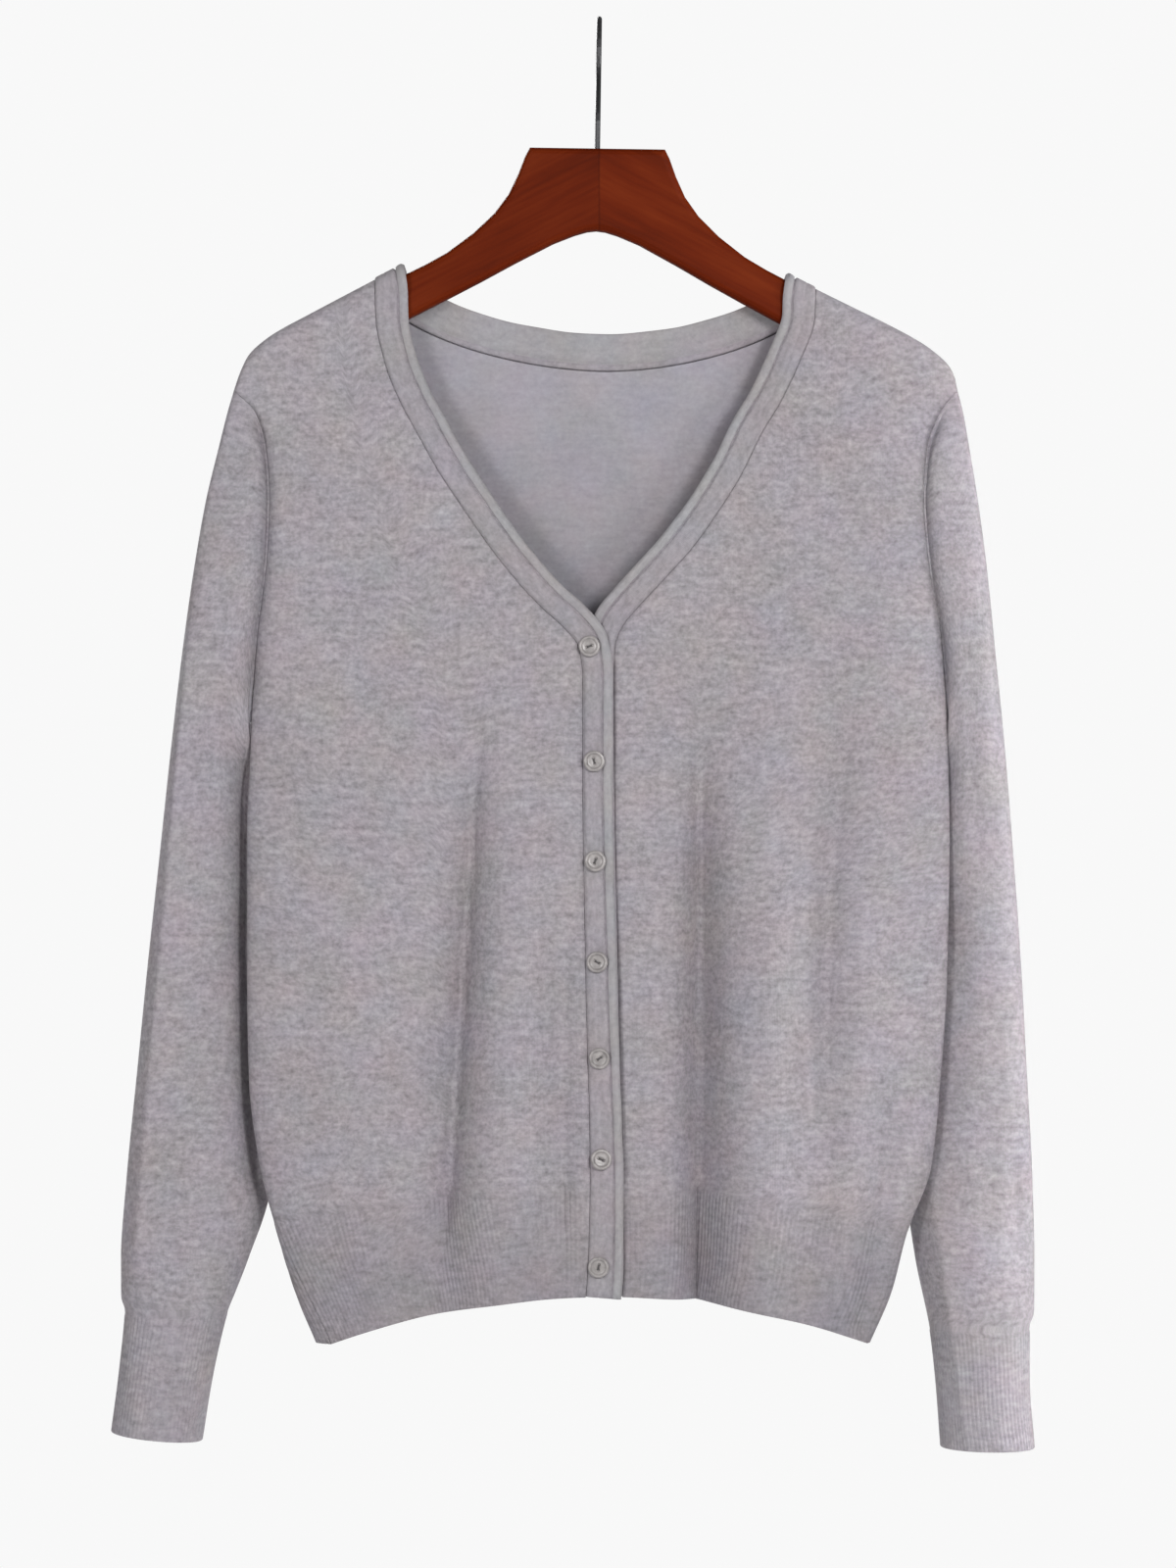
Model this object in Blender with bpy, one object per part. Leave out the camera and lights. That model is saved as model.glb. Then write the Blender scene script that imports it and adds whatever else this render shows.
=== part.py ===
"""A fine-knit V-neck button cardigan hanging on its wooden hanger.

X points right for someone looking at the front, Y to the back and Z up. The origin is the point inside
the top of the hook that bears on a rail. Lengths are in millimetres and are scaled once, in `place`.
Side -1 is at -X, the wearer's right, whose front lies on top. Side 1 is the wearer's left.
"""

import math
from collections import namedtuple

import bmesh
import bpy
from mathutils import Matrix, Vector

MM = 0.001
SHARP_ANGLE = math.radians(50)   # meshes are shaded smooth, with sharp edges above this

# Driving dimensions.
CLOTH = 1.6            # thickness of the knitted wall
SEAM_GAP = 0.3         # space between pieces that are sewn together
SHOULDER_Z = -203.5    # shoulder point, below the hook's apex
UNDERARM_Z = -388
HEM_Z = -699           # hem at the middle
HEM_DROP = 27.5        # how much lower the hem is at the sides
HEM_HALF_WIDTH = 147
HEM_POWER = 1.9
SECTION_POWER = 2.1    # 2 would be an ellipse
RIDGE_HALF = 8         # half thickness of the cloth where it bends over the hanger
RIDGE_DROP = 9         # depth over which that bend turns down
RIDGE_POWER = 2.5
FALL = 75              # below the ridge the body opens out over this distance
NECK_X = {-1: -123.6, 1: 119}
BACK_NECK_Z = -189
BACK_NECK_X = 5
BACK_NECK_POWER = 1.8
BACK_NECK_ROUNDING = 0.625
SIDE_CLEAR = 0.004     # angle between the front and the back at their side seam, in radians
SIDE_SEAM_TURN = 0.34  # how far round to the front the side seam of side -1 comes at the hem, in radians
SEAM_TURN_Z = -620
LAP = 3.4              # distance between the two front bands, one behind the other
LAP_START_Z = -258
LAP_FADE = 62
LAP_X = 1
LAP_REACH = 45
RIB_PITCH = 2.3
RIB_HEIGHT = 0.45
RIB_RUN_IN = 5         # height over which the ribs grow out of the plain knit
CUFF_RIBS = 68
BUTTON_WIDTH = 11.7
BUTTON_THICKNESS = 2.4
BUTTON_SIDES = 12
BUTTON_STAND_Z = -330  # the band is upright from here down
BUTTON_INSET = 6.3     # from the band's seam to the middle of a button
BUTTON_SEAT = 2.8      # height of a button's back over the band's inner face
HANGER_TILT = math.radians(0.85)
WOOD_THICKNESS = 12
WOOD_EDGE = 3.5
WOOD_TOP_Z = -70
ARM_END_X = 166
ARM_END_Z = -185.15
ARM_END_RADIUS = 12
ARM_END_STEPS = 8
ARM_SLOPE_ANGLE = math.radians(27)
WIRE = 3
WIRE_SEGMENTS = 10
HOOK_RADIUS = 20
HOOK_BEND_DROP = 16
HOOK_BEND_STEPS = 5
HOOK_CURL_STEPS = 20
HOOK_CURL_FROM = math.radians(-50)   # where the curl starts and ends, from its rearmost point
HOOK_CURL_TO = math.radians(200)
HOOK_BORE_DEPTH = 23
BORE_SIDES = 12
HOOK_CLEARANCE = 0.3

# The body's cross-section by height: its two sides, its depth to the front and back, and how far
# forward its side edges lie.
Level = namedtuple("Level", "z left right front back tip")
BODY_LEVELS = [
    Level(-204, -206, 201, 13, 12, 0),
    Level(-269, -204, 201, 18, 15, -1),
    Level(-339, -197, 197, 22, 18, -3),
    Level(-388, -191, 191, 25, 20, -4),
    Level(-447, -193, 192, 28, 23, -6),
    Level(-528, -193, 190.5, 31, 26, -6),
    Level(-582, -192, 187, 33, 28, -6),
    Level(-630, -186, 182, 34, 29, -5),
    Level(-668, -176, 168, 33, 28, -5),
    Level(-699, -166.5, 160, 32, 27, -4),
    Level(-727, -155, 148, 31, 27, -4),
]

# The line of the shoulders over the hanger.
Ridge = namedtuple("Ridge", "x z")
SHOULDER_RIDGE = [
    Ridge(-200.6, -203.5),
    Ridge(-197.4, -194),
    Ridge(-192.5, -184),
    Ridge(-186, -177.5),
    Ridge(-178, -171.8),
    Ridge(-160, -162),
    Ridge(-124, -143),
    Ridge(-106, -133.6),
    Ridge(0, -80),
    Ridge(106, -141),
    Ridge(120, -148.3),
    Ridge(140, -158.2),
    Ridge(160, -168),
    Ridge(178, -178),
    Ridge(186, -184),
    Ridge(192, -190),
    Ridge(195, -196),
    Ridge(196.6, -203.5),
]

# The armhole's edge on the body.
Armhole = namedtuple("Armhole", "z left right")
ARMHOLE = [
    Armhole(-203.5, -200.6, 196.6),
    Armhole(-216, -188.5, 187),
    Armhole(-235, -183, 180),
    Armhole(-262, -181, 178),
    Armhole(-292, -182, 180),
    Armhole(-340, -187.5, 187.5),
    Armhole(-388, -191, 191),
]

# The seam that joins the band to each front: the V, then the button stand.
BandSeam = namedtuple("BandSeam", "z left right")
BAND_SEAM = [
    BandSeam(-142, -123.6, 119.1),
    BandSeam(-163, -123, 118.6),
    BandSeam(-189, -117.7, 109.6),
    BandSeam(-210, -109.4, 99.7),
    BandSeam(-228, -99.7, 88.9),
    BandSeam(-251, -86.7, 77.5),
    BandSeam(-271, -73.3, 65),
    BandSeam(-291, -59.3, 50.6),
    BandSeam(-308, -45.9, 35.4),
    BandSeam(-324, -31, 20.5),
    BandSeam(-334, -20, 12.6),
    BandSeam(-345, -11.4, 8.6),
    BandSeam(-362, -9.2, 8),
    BandSeam(-409, -9.2, 8.2),
    BandSeam(-527, -7.5, 10.4),
    BandSeam(-634, -5.1, 12.5),
    BandSeam(-682, -6.2, 13.6),
    BandSeam(-700, -7.5, 12.5),
]

# The flat part of the band and the rolled edge beyond its groove, by height.
BandWidth = namedtuple("BandWidth", "z flat roll")
BAND_WIDTHS = [
    BandWidth(-140, 12.6, 4.6),
    BandWidth(-330, 11, 4.7),
    BandWidth(-409, 10.4, 4.8),
    BandWidth(-527, 11.4, 4.6),
    BandWidth(-634, 12.8, 4.4),
    BandWidth(-700, 13.8, 4.4),
]
BAND_THICKNESS = 2.4   # a doubled strip
BAND_GROOVE = 0.9      # width of the groove
GROOVE_DEPTH = 1
GROOVE_LEAD = 0.3      # the groove's slope reaches this far to each side of the flat part's edge
BAND_EDGE = 0.5        # rounding of the sewn edge

# The rolled edge: how far across it, and how high over the band's inner face.
RollPoint = namedtuple("RollPoint", "share height")
BAND_ROLL = [
    RollPoint(0, 2.2),
    RollPoint(0.35, 2.7),
    RollPoint(0.75, 2.5),
    RollPoint(1, 1.3),
    RollPoint(0.8, 0.1),
    RollPoint(0.4, -0.2),
]

# Soft folds that run down from the bust: a ridge stands out and a trough has a negative height.
Fold = namedtuple("Fold", "top_x top_z low_x low_z height width")
FRONT_FOLDS = [
    Fold(-38, -390, -58, -730, 9, 21),
    Fold(-78, -420, -96, -730, -4, 16),
    Fold(88, -390, 90, -730, 11, 23),
    Fold(52, -420, 57, -730, -5, 15),
    Fold(146, -330, 136, -660, 4, 14),
    Fold(-140, -440, -128, -730, 3.5, 20),
]
BACK_FOLDS = [
    Fold(-70, -400, -84, -730, 9, 24),
    Fold(-20, -430, -30, -730, -4, 18),
    Fold(48, -380, 62, -730, 10, 23),
    Fold(118, -440, 108, -730, 4, 16),
]
FOLD_RUN_IN = 0.45     # share of a fold's length over which it deepens

# Rings of each sleeve, from the armhole to the cuff's edge: the outer and the inner fold, half of the
# depth, how far back the middle is, and how far the outer fold stands forward of it.
Ring = namedtuple("Ring", "outer_x outer_z inner_x inner_z depth back lead")
SLEEVE_RINGS = {
    -1: [
        Ring(-200.6, -203.5, -191, -388, 8, 0, 0),
        Ring(-203.9, -214.7, -193.4, -391, 12, 0, 0),
        Ring(-209.3, -236.3, -194.2, -396, 15, 0.5, 1),
        Ring(-215.7, -263.3, -194.4, -405, 19, 2, 4),
        Ring(-222.2, -301, -193, -420, 23, 5, 9),
        Ring(-228.2, -344, -189.5, -441, 26, 9, 14),
        Ring(-234.6, -398, -185, -471, 27, 12, 17),
        Ring(-241.1, -458, -182, -509, 28, 14, 18),
        Ring(-247.6, -517, -180, -549, 28, 15, 18),
        Ring(-253.5, -576.5, -180, -592, 28, 14, 17),
        Ring(-259.5, -636, -182.5, -641, 28, 10, 12),
        Ring(-262.7, -679, -194, -680, 28, 6, 7),
        Ring(-262.7, -701, -202, -701, 27.5, 5, 5),
        Ring(-260.6, -711, -206, -711, 25.5, 5, 4),
        Ring(-263.8, -744, -214, -745, 25, 4, 3),
        Ring(-268, -776, -220, -781.5, 26, 4, 3),
    ],
    1: [
        Ring(196.6, -203.5, 191, -388, 8, 0, 0),
        Ring(199.5, -214.7, 193.2, -391, 12, 0, 0),
        Ring(203.3, -236.3, 193.8, -396, 15, 0.5, 1),
        Ring(207.6, -263.3, 193.5, -405, 19, 2, 4),
        Ring(212.5, -301, 191, -420, 23, 5, 9),
        Ring(216.8, -344, 187, -441, 26, 10, 15),
        Ring(222.2, -398, 182, -471, 27, 14, 18),
        Ring(227.1, -458, 178.5, -509, 27, 17, 20),
        Ring(231.4, -517, 175.5, -549, 27, 18, 20),
        Ring(234.6, -576.5, 173, -592, 27, 17, 19),
        Ring(237.9, -636, 171, -638, 27, 14, 14),
        Ring(239, -679, 175.2, -679, 28, 8, 8),
        Ring(239, -709, 181.2, -709, 27.5, 6, 5),
        Ring(236.3, -720, 183.3, -720, 25.5, 5, 4),
        Ring(236.3, -749, 186.6, -749, 25, 4, 3),
        Ring(239, -785, 189.3, -785, 26, 4, 3),
    ],
}
CUFF_RING = 13         # the ring where the ribbed cuff starts
ARMHOLE_RINGS = 5      # rings over which the tube takes up the shape of the armhole
ARMHOLE_ROUNDING = 0.85 # how blunt the long narrow rings by the armhole are at their ends, 1 for an ellipse
UNDERARM_STEP = 1.8    # the sleeve hangs beside the body here, not edge to edge with it
UNDERARM_STEP_POWER = 4   # how near the underarm that step comes
UNDERARM_FOLD_POWER = 8   # and how near it the sleeve's edge folds over to face down

# Rows of the body panels, as shares of the way from the shoulder or neck down to the hem.
Row = namedtuple("Row", "side middle")
BODY_ROWS = [
    Row(0, 0),
    Row(0.003, 0.003),
    Row(0.009, 0.009),
    Row(0.02, 0.02),
    Row(0.055, 0.05),
    Row(0.1, 0.095),
    Row(0.15, 0.145),
    Row(0.2, 0.195),
    Row(0.245, 0.245),
    Row(0.28, 0.285),
    Row(0.305, 0.315),
    Row(0.325, 0.335),
    Row(0.34, 0.35),
    Row(0.353, 0.368),
    Row(0.385, 0.4),
    Row(0.45, 0.465),
    Row(0.54, 0.56),
    Row(0.63, 0.65),
    Row(0.71, 0.73),
    Row(0.79, 0.81),
    Row(0.872, 0.893),
    Row(1, 1),
]
UNDERARM_ROW = 13
ROW_LEVELLING = 6      # how soon the rows become level below the shoulders
ROW_BOW = 1.5          # how a row eases from its height at the middle to that at the side
FRONT_SPREAD = 0.09    # columns of a front stand closer together near the middle, where its folds are
BACK_SPREAD = 0.02     # columns of the back stand closer together at its sides
FRONT_COLUMNS = 18
BACK_SHOULDER_COLUMNS = 7
BACK_NECK_COLUMNS = 13
NECK_TURN_INSETS = (0.5, 2.2, 5.5, 10)   # extra columns of the back where its neckline turns down
NECK_TURN_REACH = 17

# A button's dished face, raised rim and narrower back, as shares of its radius and of its thickness.
Turned = namedtuple("Turned", "radius height")
BUTTON_PROFILE = [
    Turned(0, 0.55),
    Turned(0.62, 0.6),
    Turned(0.78, 1),
    Turned(0.93, 0.85),
    Turned(1, 0.45),
    Turned(0.85, 0),
    Turned(0, 0),
]
BUTTON_HEIGHTS = [-346.6, -407.6, -462.1, -517.1, -569.5, -624.1, -682.6]

# The hanger's outline, half of it: the flared neck on top, then the arch below.
Outline = namedtuple("Outline", "x z")
HANGER_TOP = [
    Outline(37.2, -70),
    Outline(39.8, -75),
    Outline(43.5, -85),
    Outline(48.6, -96),
    Outline(56.2, -106.5),
    Outline(67.5, -117.5),
    Outline(82, -128.6),
    Outline(94, -135.5),
]
HANGER_ARCH = [
    Outline(80.5, -153.7),
    Outline(63.4, -144.5),
    Outline(44, -133.6),
    Outline(23.5, -122.7),
    Outline(12, -118),
    Outline(5, -115.9),
]
ARCH_TOP_Z = -115.3


def mix(a, b, share):
    """The value `share` of the way from a to b."""
    return a + (b - a) * share


def ease(share):
    """0 to 1 with a soft start and end, for a share that may lie outside 0 to 1."""
    share = min(1.0, max(0.0, share))
    return share * share * (3 - 2 * share)


def signed_power(value, power):
    return math.copysign(abs(value) ** power, value)


def hermite(low, high, slope_low, slope_high, run, share):
    """The cubic between two values with given slopes."""
    square, cube = share * share, share**3
    return (
        (2 * cube - 3 * square + 1) * low
        + (cube - 2 * square + share) * run * slope_low
        + (3 * square - 2 * cube) * high
        + (cube - square) * run * slope_high
    )


def smooth_slope(before, after):
    """A slope at a row that never makes the curve overshoot its neighbours."""
    return 0.0 if before * after <= 0 else 2 * before * after / (before + after)


def read(keys, values, at):
    """The value at `at` on a smooth curve through the rows, held constant beyond the first and last."""
    if (keys[-1] - keys[0]) < 0:
        keys, values = keys[::-1], values[::-1]
    if at <= keys[0]:
        return values[0]
    if at >= keys[-1]:
        return values[-1]
    i = next(n for n in range(len(keys) - 1) if at <= keys[n + 1])
    secants = [
        (values[n + 1] - values[n]) / (keys[n + 1] - keys[n])
        for n in range(max(0, i - 1), min(len(keys) - 1, i + 2))
    ]
    here = 1 if i else 0
    low = smooth_slope(secants[0], secants[1]) if i else secants[0]
    high = smooth_slope(secants[here], secants[here + 1]) if here + 1 < len(secants) else secants[-1]
    run = keys[i + 1] - keys[i]
    return hermite(values[i], values[i + 1], low, high, run, (at - keys[i]) / run)


def read_table(table, key, column, at):
    return read([getattr(row, key) for row in table], [getattr(row, column) for row in table], at)


def read_row(rows, column, at):
    """A column's value at a row number, which may lie between two rows."""
    return read(list(range(len(rows))), [getattr(row, column) for row in rows], at)


def side_name(side):
    return "left" if side < 0 else "right"


def level(z):
    """The body's middle, half width, front and back depth and the place of its side edges at a height."""
    left, right, front, back, tip = (
        read_table(BODY_LEVELS, "z", column, z) for column in ("left", "right", "front", "back", "tip")
    )
    return (left + right) / 2, (right - left) / 2, front, back, tip


def ridge_z(x):
    return read_table(SHOULDER_RIDGE, "x", "z", x)


def back_top_z(x):
    """The top edge of the back: the two shoulders and the curved neckline between them."""
    if not NECK_X[-1] < x < NECK_X[1]:
        return ridge_z(x)
    side = -1 if x < BACK_NECK_X else 1
    share = (x - BACK_NECK_X) / (NECK_X[side] - BACK_NECK_X)
    return mix(ridge_z(NECK_X[side]), BACK_NECK_Z, (1 - share**BACK_NECK_POWER) ** BACK_NECK_ROUNDING)


def hem_z(x):
    return HEM_Z - HEM_DROP * min(1.0, abs(x) / HEM_HALF_WIDTH) ** HEM_POWER


def folds(table, x, z):
    """How far the folds stand out at a place."""
    total = 0.0
    for fold in table:
        share = (z - fold.top_z) / (fold.low_z - fold.top_z)
        distance = (x - mix(fold.top_x, fold.low_x, share)) / fold.width
        total += fold.height * ease(share / FOLD_RUN_IN) * math.exp(-distance * distance)
    return total


def lap(side, x, z):
    """Side -1 lies in front of side 1 where the bands cross, and each eases back to the common surface."""
    near = math.exp(-(((x - LAP_X) / LAP_REACH) ** 2))
    return side * LAP / 2 * near * ease((LAP_START_Z - z) / LAP_FADE)


def body_point(angle, z, facing, side=0):
    """A point of the body's middle surface. The angle runs from the side at -X, 0, to that at +X, pi.

    Facing is -1 for the front and 1 for the back, and an angle beyond a side edge goes round it.
    """
    middle, half, front, back, tip = level(z)
    if angle < 0 or angle > math.pi:
        facing = -facing
    x = middle - half * signed_power(math.cos(angle), 2 / SECTION_POWER)
    around = abs(math.sin(angle)) ** (2 / SECTION_POWER)
    depth = front + tip if facing < 0 else back - tip
    hanging = tip + facing * depth * around
    below = max(0.0, ridge_z(x) - z)
    turn = 1 - min(1.0, below / RIDGE_DROP)
    over = SEAM_GAP / 2 + RIDGE_HALF * (1 - turn**RIDGE_POWER) ** (1 / RIDGE_POWER)
    y = mix(facing * over, hanging, ease(below / FALL))
    y += facing * folds(FRONT_FOLDS if facing < 0 else BACK_FOLDS, x, z) * around
    return Vector((x, y + (lap(side, x, z) if side else 0.0), z))


def body_normal(angle, z, facing, side=0):
    """The outward normal of the body's middle surface."""
    x = body_point(angle, z, facing).x
    step = 0.02
    if ridge_z(x) - z < 2 * step:
        rise = ridge_z(x + step) - ridge_z(x - step)
        return Vector((-rise, 0, 2 * step)).normalized()
    turn = step / HEM_HALF_WIDTH
    around = body_point(angle + turn, z, facing, side) - body_point(angle - turn, z, facing, side)
    down = body_point(angle, z - step, facing, side) - body_point(angle, z + step, facing, side)
    return around.cross(down).normalized() * facing


def angle_at(x, z):
    """The angle at which the body's section has a given x."""
    middle, half = level(z)[:2]
    share = max(-1.0, min(1.0, (middle - x) / half))
    return math.acos(signed_power(share, SECTION_POWER / 2))


def side_angle(side, z, facing):
    """The angle of a panel's outer edge: the armhole, and below it the side seam."""
    if z > UNDERARM_Z:
        angle = angle_at(read_table(ARMHOLE, "z", side_name(side), z), z)
        return max(SIDE_CLEAR, angle) if side < 0 else min(math.pi - SIDE_CLEAR, angle)
    wraps = SIDE_SEAM_TURN if side < 0 else 0
    turn = wraps * ease((SEAM_TURN_Z - z) / (SEAM_TURN_Z - hem_z(HEM_HALF_WIDTH)))
    angle = SIDE_CLEAR - facing * turn
    return angle if side < 0 else math.pi - angle


def across(angle):
    """How far out a place is, 1 at the side at -X and -1 at that at +X, from its angle."""
    return signed_power(math.cos(angle), 2 / SECTION_POWER)


def angle_across(share):
    """The reverse of `across`."""
    return math.acos(signed_power(max(-1.0, min(1.0, share)), SECTION_POWER / 2))


def spread(share):
    """The share of a front's width at which a column stands."""
    return share + FRONT_SPREAD * math.sin(math.pi * share)


def row_height(row, outward, middle_top, top, hem):
    """The height of a column at a row. The column starts at `top` and ends at `hem`.

    Away from those edges the rows lie level across the panel: `outward` is 0 at its middle and 1 at its side.
    """
    side_share, middle_share = (read_row(BODY_ROWS, column, row) for column in Row._fields)
    corner = hem_z(HEM_HALF_WIDTH)
    level_z = mix(mix(middle_top, HEM_Z, middle_share), mix(SHOULDER_Z, corner, side_share), outward)
    level_top = mix(middle_top, SHOULDER_Z, outward)
    level_hem = mix(HEM_Z, corner, outward)
    return (
        level_z
        + (top - level_top) * (1 - middle_share) ** ROW_LEVELLING
        + (hem - level_hem) * middle_share**ROW_LEVELLING
    )


def column_angle(side, outer, inner, share, row):
    """The angle of a column that lies `share` of the way from the panel's outer edge to an inner one."""
    if row >= UNDERARM_ROW:
        return mix(outer, inner, share)
    tip = 0 if side < 0 else math.pi
    inner_across, base = across(inner), across(mix(tip, inner, share))
    inward = (across(tip) - base) / (across(tip) - inner_across)
    inward = mix(share, inward, ease(row / UNDERARM_ROW))
    return angle_across(mix(across(outer), inner_across, inward))


def front_place(side, u, row):
    """The angle and height of a point of a front: u runs from the side to the band's seam."""
    seam_top_z = ridge_z(NECK_X[side])

    def angle(at_row):
        outer_z = row_height(at_row, 1, seam_top_z, SHOULDER_Z, hem_z(HEM_HALF_WIDTH))
        inner_z = row_height(at_row, 0, seam_top_z, seam_top_z, HEM_Z)
        inner = angle_at(read_table(BAND_SEAM, "z", side_name(side), inner_z), inner_z)
        return column_angle(side, side_angle(side, outer_z, -1), inner, spread(u), at_row)

    here = angle(row)
    top_x = body_point(angle(0), SHOULDER_Z, -1).x
    hem_x = body_point(angle(len(BODY_ROWS) - 1), hem_z(HEM_HALF_WIDTH), -1).x
    outward = (1 - u) ** ROW_BOW
    return here, row_height(row, outward, seam_top_z, ridge_z(top_x), hem_z(hem_x))


def back_place(u, row):
    """The angle and height of a point of the back: u runs from the side at -X to that at +X."""
    middle, half = level(SHOULDER_Z)[:2]
    base = math.pi * (u + BACK_SPREAD * math.sin(2 * math.pi * u))
    side = -1 if u < 0.5 else 1
    neck = angle_across((middle - NECK_X[side]) / half)
    tip = 0 if side < 0 else math.pi
    share = (base - tip) / (neck - tip)

    def angle(at_row):
        if share > 1 and at_row < UNDERARM_ROW:
            return base
        outer_z = row_height(at_row, 1, BACK_NECK_Z, SHOULDER_Z, hem_z(HEM_HALF_WIDTH))
        outer = side_angle(side, outer_z, 1)
        if at_row >= UNDERARM_ROW:
            return mix(outer, math.pi / 2, (base - tip) / (math.pi / 2 - tip))
        return column_angle(side, outer, neck, share, at_row)

    here = angle(row)
    outward = abs(1 - 2 * u) ** ROW_BOW
    top_x = body_point(angle(0), SHOULDER_Z, 1).x
    hem_x = body_point(angle(len(BODY_ROWS) - 1), hem_z(HEM_HALF_WIDTH), 1).x
    return here, row_height(row, outward, BACK_NECK_Z, back_top_z(top_x), hem_z(hem_x))


def front(side):
    """The surface of a front, which gives the point and the outward normal at u and a row."""

    def surface(u, row):
        angle, z = front_place(side, u, row)
        return body_point(angle, z, -1, side), body_normal(angle, z, -1, side)

    return surface


def back(u, row):
    angle, z = back_place(u, row)
    return body_point(angle, z, 1), body_normal(angle, z, 1)


def armhole_point(side, turn):
    """The sleeve's edge: a seam's width from the body's, and just outside it at the underarm.

    The turn goes from the shoulder down the front and up the back.
    """
    down = (1 - math.cos(turn)) / 2
    z = mix(SHOULDER_Z, UNDERARM_Z, down)
    facing = -1 if turn < math.pi else 1
    edge = body_point(side_angle(side, z, facing), z, facing)
    away = Vector((side * abs(math.sin(turn)), 0, -math.cos(turn)))
    return edge + away * SEAM_GAP + Vector((side * UNDERARM_STEP * down**UNDERARM_STEP_POWER, 0, 0))


def armhole_columns(side):
    """The sleeve's columns, which meet the rows of the front and the back, and its normals at them.

    The sleeve's edge has the body's normals, but at the underarm the cloth folds over and faces down.
    """
    edges = [front(side)(0, row) for row in range(UNDERARM_ROW + 1)]
    edges += [back(0 if side < 0 else 1, row) for row in range(UNDERARM_ROW - 1, 0, -1)]
    columns, normals = [], []
    for n, (edge, normal) in enumerate(edges):
        down = min(1.0, (SHOULDER_Z - edge.z) / (SHOULDER_Z - UNDERARM_Z))
        columns.append(math.acos(1 - 2 * down) / (2 * math.pi))
        if n > UNDERARM_ROW:
            columns[n] = 1 - columns[len(edges) - n]
        normals.append(normal.lerp(Vector((0, 0, -1)), down**UNDERARM_FOLD_POWER).normalized())
    return columns, normals


def ring_point(side, turn, row):
    """A point of an oval ring of the sleeve at a row number, which may lie between two rings."""
    ring = Ring(*(read_row(SLEEVE_RINGS[side], column, row) for column in Ring._fields))
    outer = Vector((ring.outer_x, 0, ring.outer_z))
    inner = Vector((ring.inner_x, 0, ring.inner_z))
    point = (outer + inner) / 2 + (outer - inner) / 2 * math.cos(turn)
    power = mix(1, ARMHOLE_ROUNDING, ease(1 - row / ARMHOLE_RINGS))
    point.y = ring.back - ring.depth * signed_power(math.sin(turn), power) - ring.lead * math.cos(turn)
    return point


def sleeve_point(side, turn, row):
    turn %= 2 * math.pi
    point = ring_point(side, turn, row)
    held = ease(1 - row / ARMHOLE_RINGS)
    return point + (armhole_point(side, turn) - ring_point(side, turn, 0)) * held


def sleeve(side):
    """The surface of a sleeve, whose u runs once round from the outer fold over the front."""
    columns, edge_normals = armhole_columns(side)

    def point(u, row):
        return sleeve_point(side, u * 2 * math.pi, row)

    def surface(u, row):
        if row == 0:
            return point(u, 0), edge_normals[columns.index(u)]
        step = 1e-3
        along = point(u + step, row) - point(u - step, row)
        down = point(u, min(len(SLEEVE_RINGS[side]) - 1, row + step)) - point(u, row - step)
        return point(u, row), along.cross(down).normalized() * side

    return surface, columns


def offset_row(surface, columns, row, distance):
    """The points of one row, moved out from the middle surface."""
    points = []
    for n, u in enumerate(columns):
        point, normal = surface(u, row)
        points.append(point + normal * (distance(n) if callable(distance) else distance))
    return points


def even_columns(surface, row, count, closed=False):
    """Values of u that divide a row into equal lengths."""
    samples = 240
    points = [surface(n / samples, row)[0] for n in range(samples + 1)]
    lengths = [0.0]
    for before, after in zip(points, points[1:]):
        lengths.append(lengths[-1] + (after - before).length)
    columns = []
    for n in range(count if closed else count + 1):
        at = lengths[-1] * n / count
        i = min(samples - 1, next(k for k in range(samples) if lengths[k + 1] >= at - 1e-9))
        columns.append((i + (at - lengths[i]) / (lengths[i + 1] - lengths[i])) / samples)
    return columns


def shares_of(row, closed):
    """Each point's share of the way along its row."""
    points = row + row[:1] if closed else row
    lengths = [0.0]
    for before, after in zip(points, points[1:]):
        lengths.append(lengths[-1] + (after.co - before.co).length)
    return [length / lengths[-1] for length in lengths]


def zip_rows(mesh, first, second, closed):
    """Faces between two rows, which may have different numbers of points."""
    if len(first) == len(second):
        last = len(first) if closed else len(first) - 1
        for n in range(last):
            m = (n + 1) % len(first)
            mesh.faces.new((first[n], first[m], second[m]))
            mesh.faces.new((first[n], second[m], second[n]))
        return
    shares = shares_of(first, closed), shares_of(second, closed)
    i = j = 0
    ends = len(shares[0]) - 1, len(shares[1]) - 1
    while i < ends[0] or j < ends[1]:
        a, b = first[i % len(first)], second[j % len(second)]
        if j == ends[1] or (i < ends[0] and shares[0][i + 1] <= shares[1][j + 1]):
            mesh.faces.new((a, first[(i + 1) % len(first)], b))
            i += 1
        else:
            mesh.faces.new((a, second[(j + 1) % len(second)], b))
            j += 1


def place(name, mesh, look, parent):
    """Makes an object from a mesh in millimetres."""
    bmesh.ops.recalc_face_normals(mesh, faces=mesh.faces)
    bmesh.ops.scale(mesh, vec=(MM, MM, MM), verts=mesh.verts)
    data = bpy.data.meshes.new(name)
    mesh.to_mesh(data)
    mesh.free()
    data.shade_smooth()
    data.set_sharp_from_angle(angle=SHARP_ANGLE)
    data.materials.append(look)
    thing = bpy.data.objects.new(name, data)
    bpy.context.scene.collection.objects.link(thing)
    thing.parent = parent
    return thing


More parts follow.
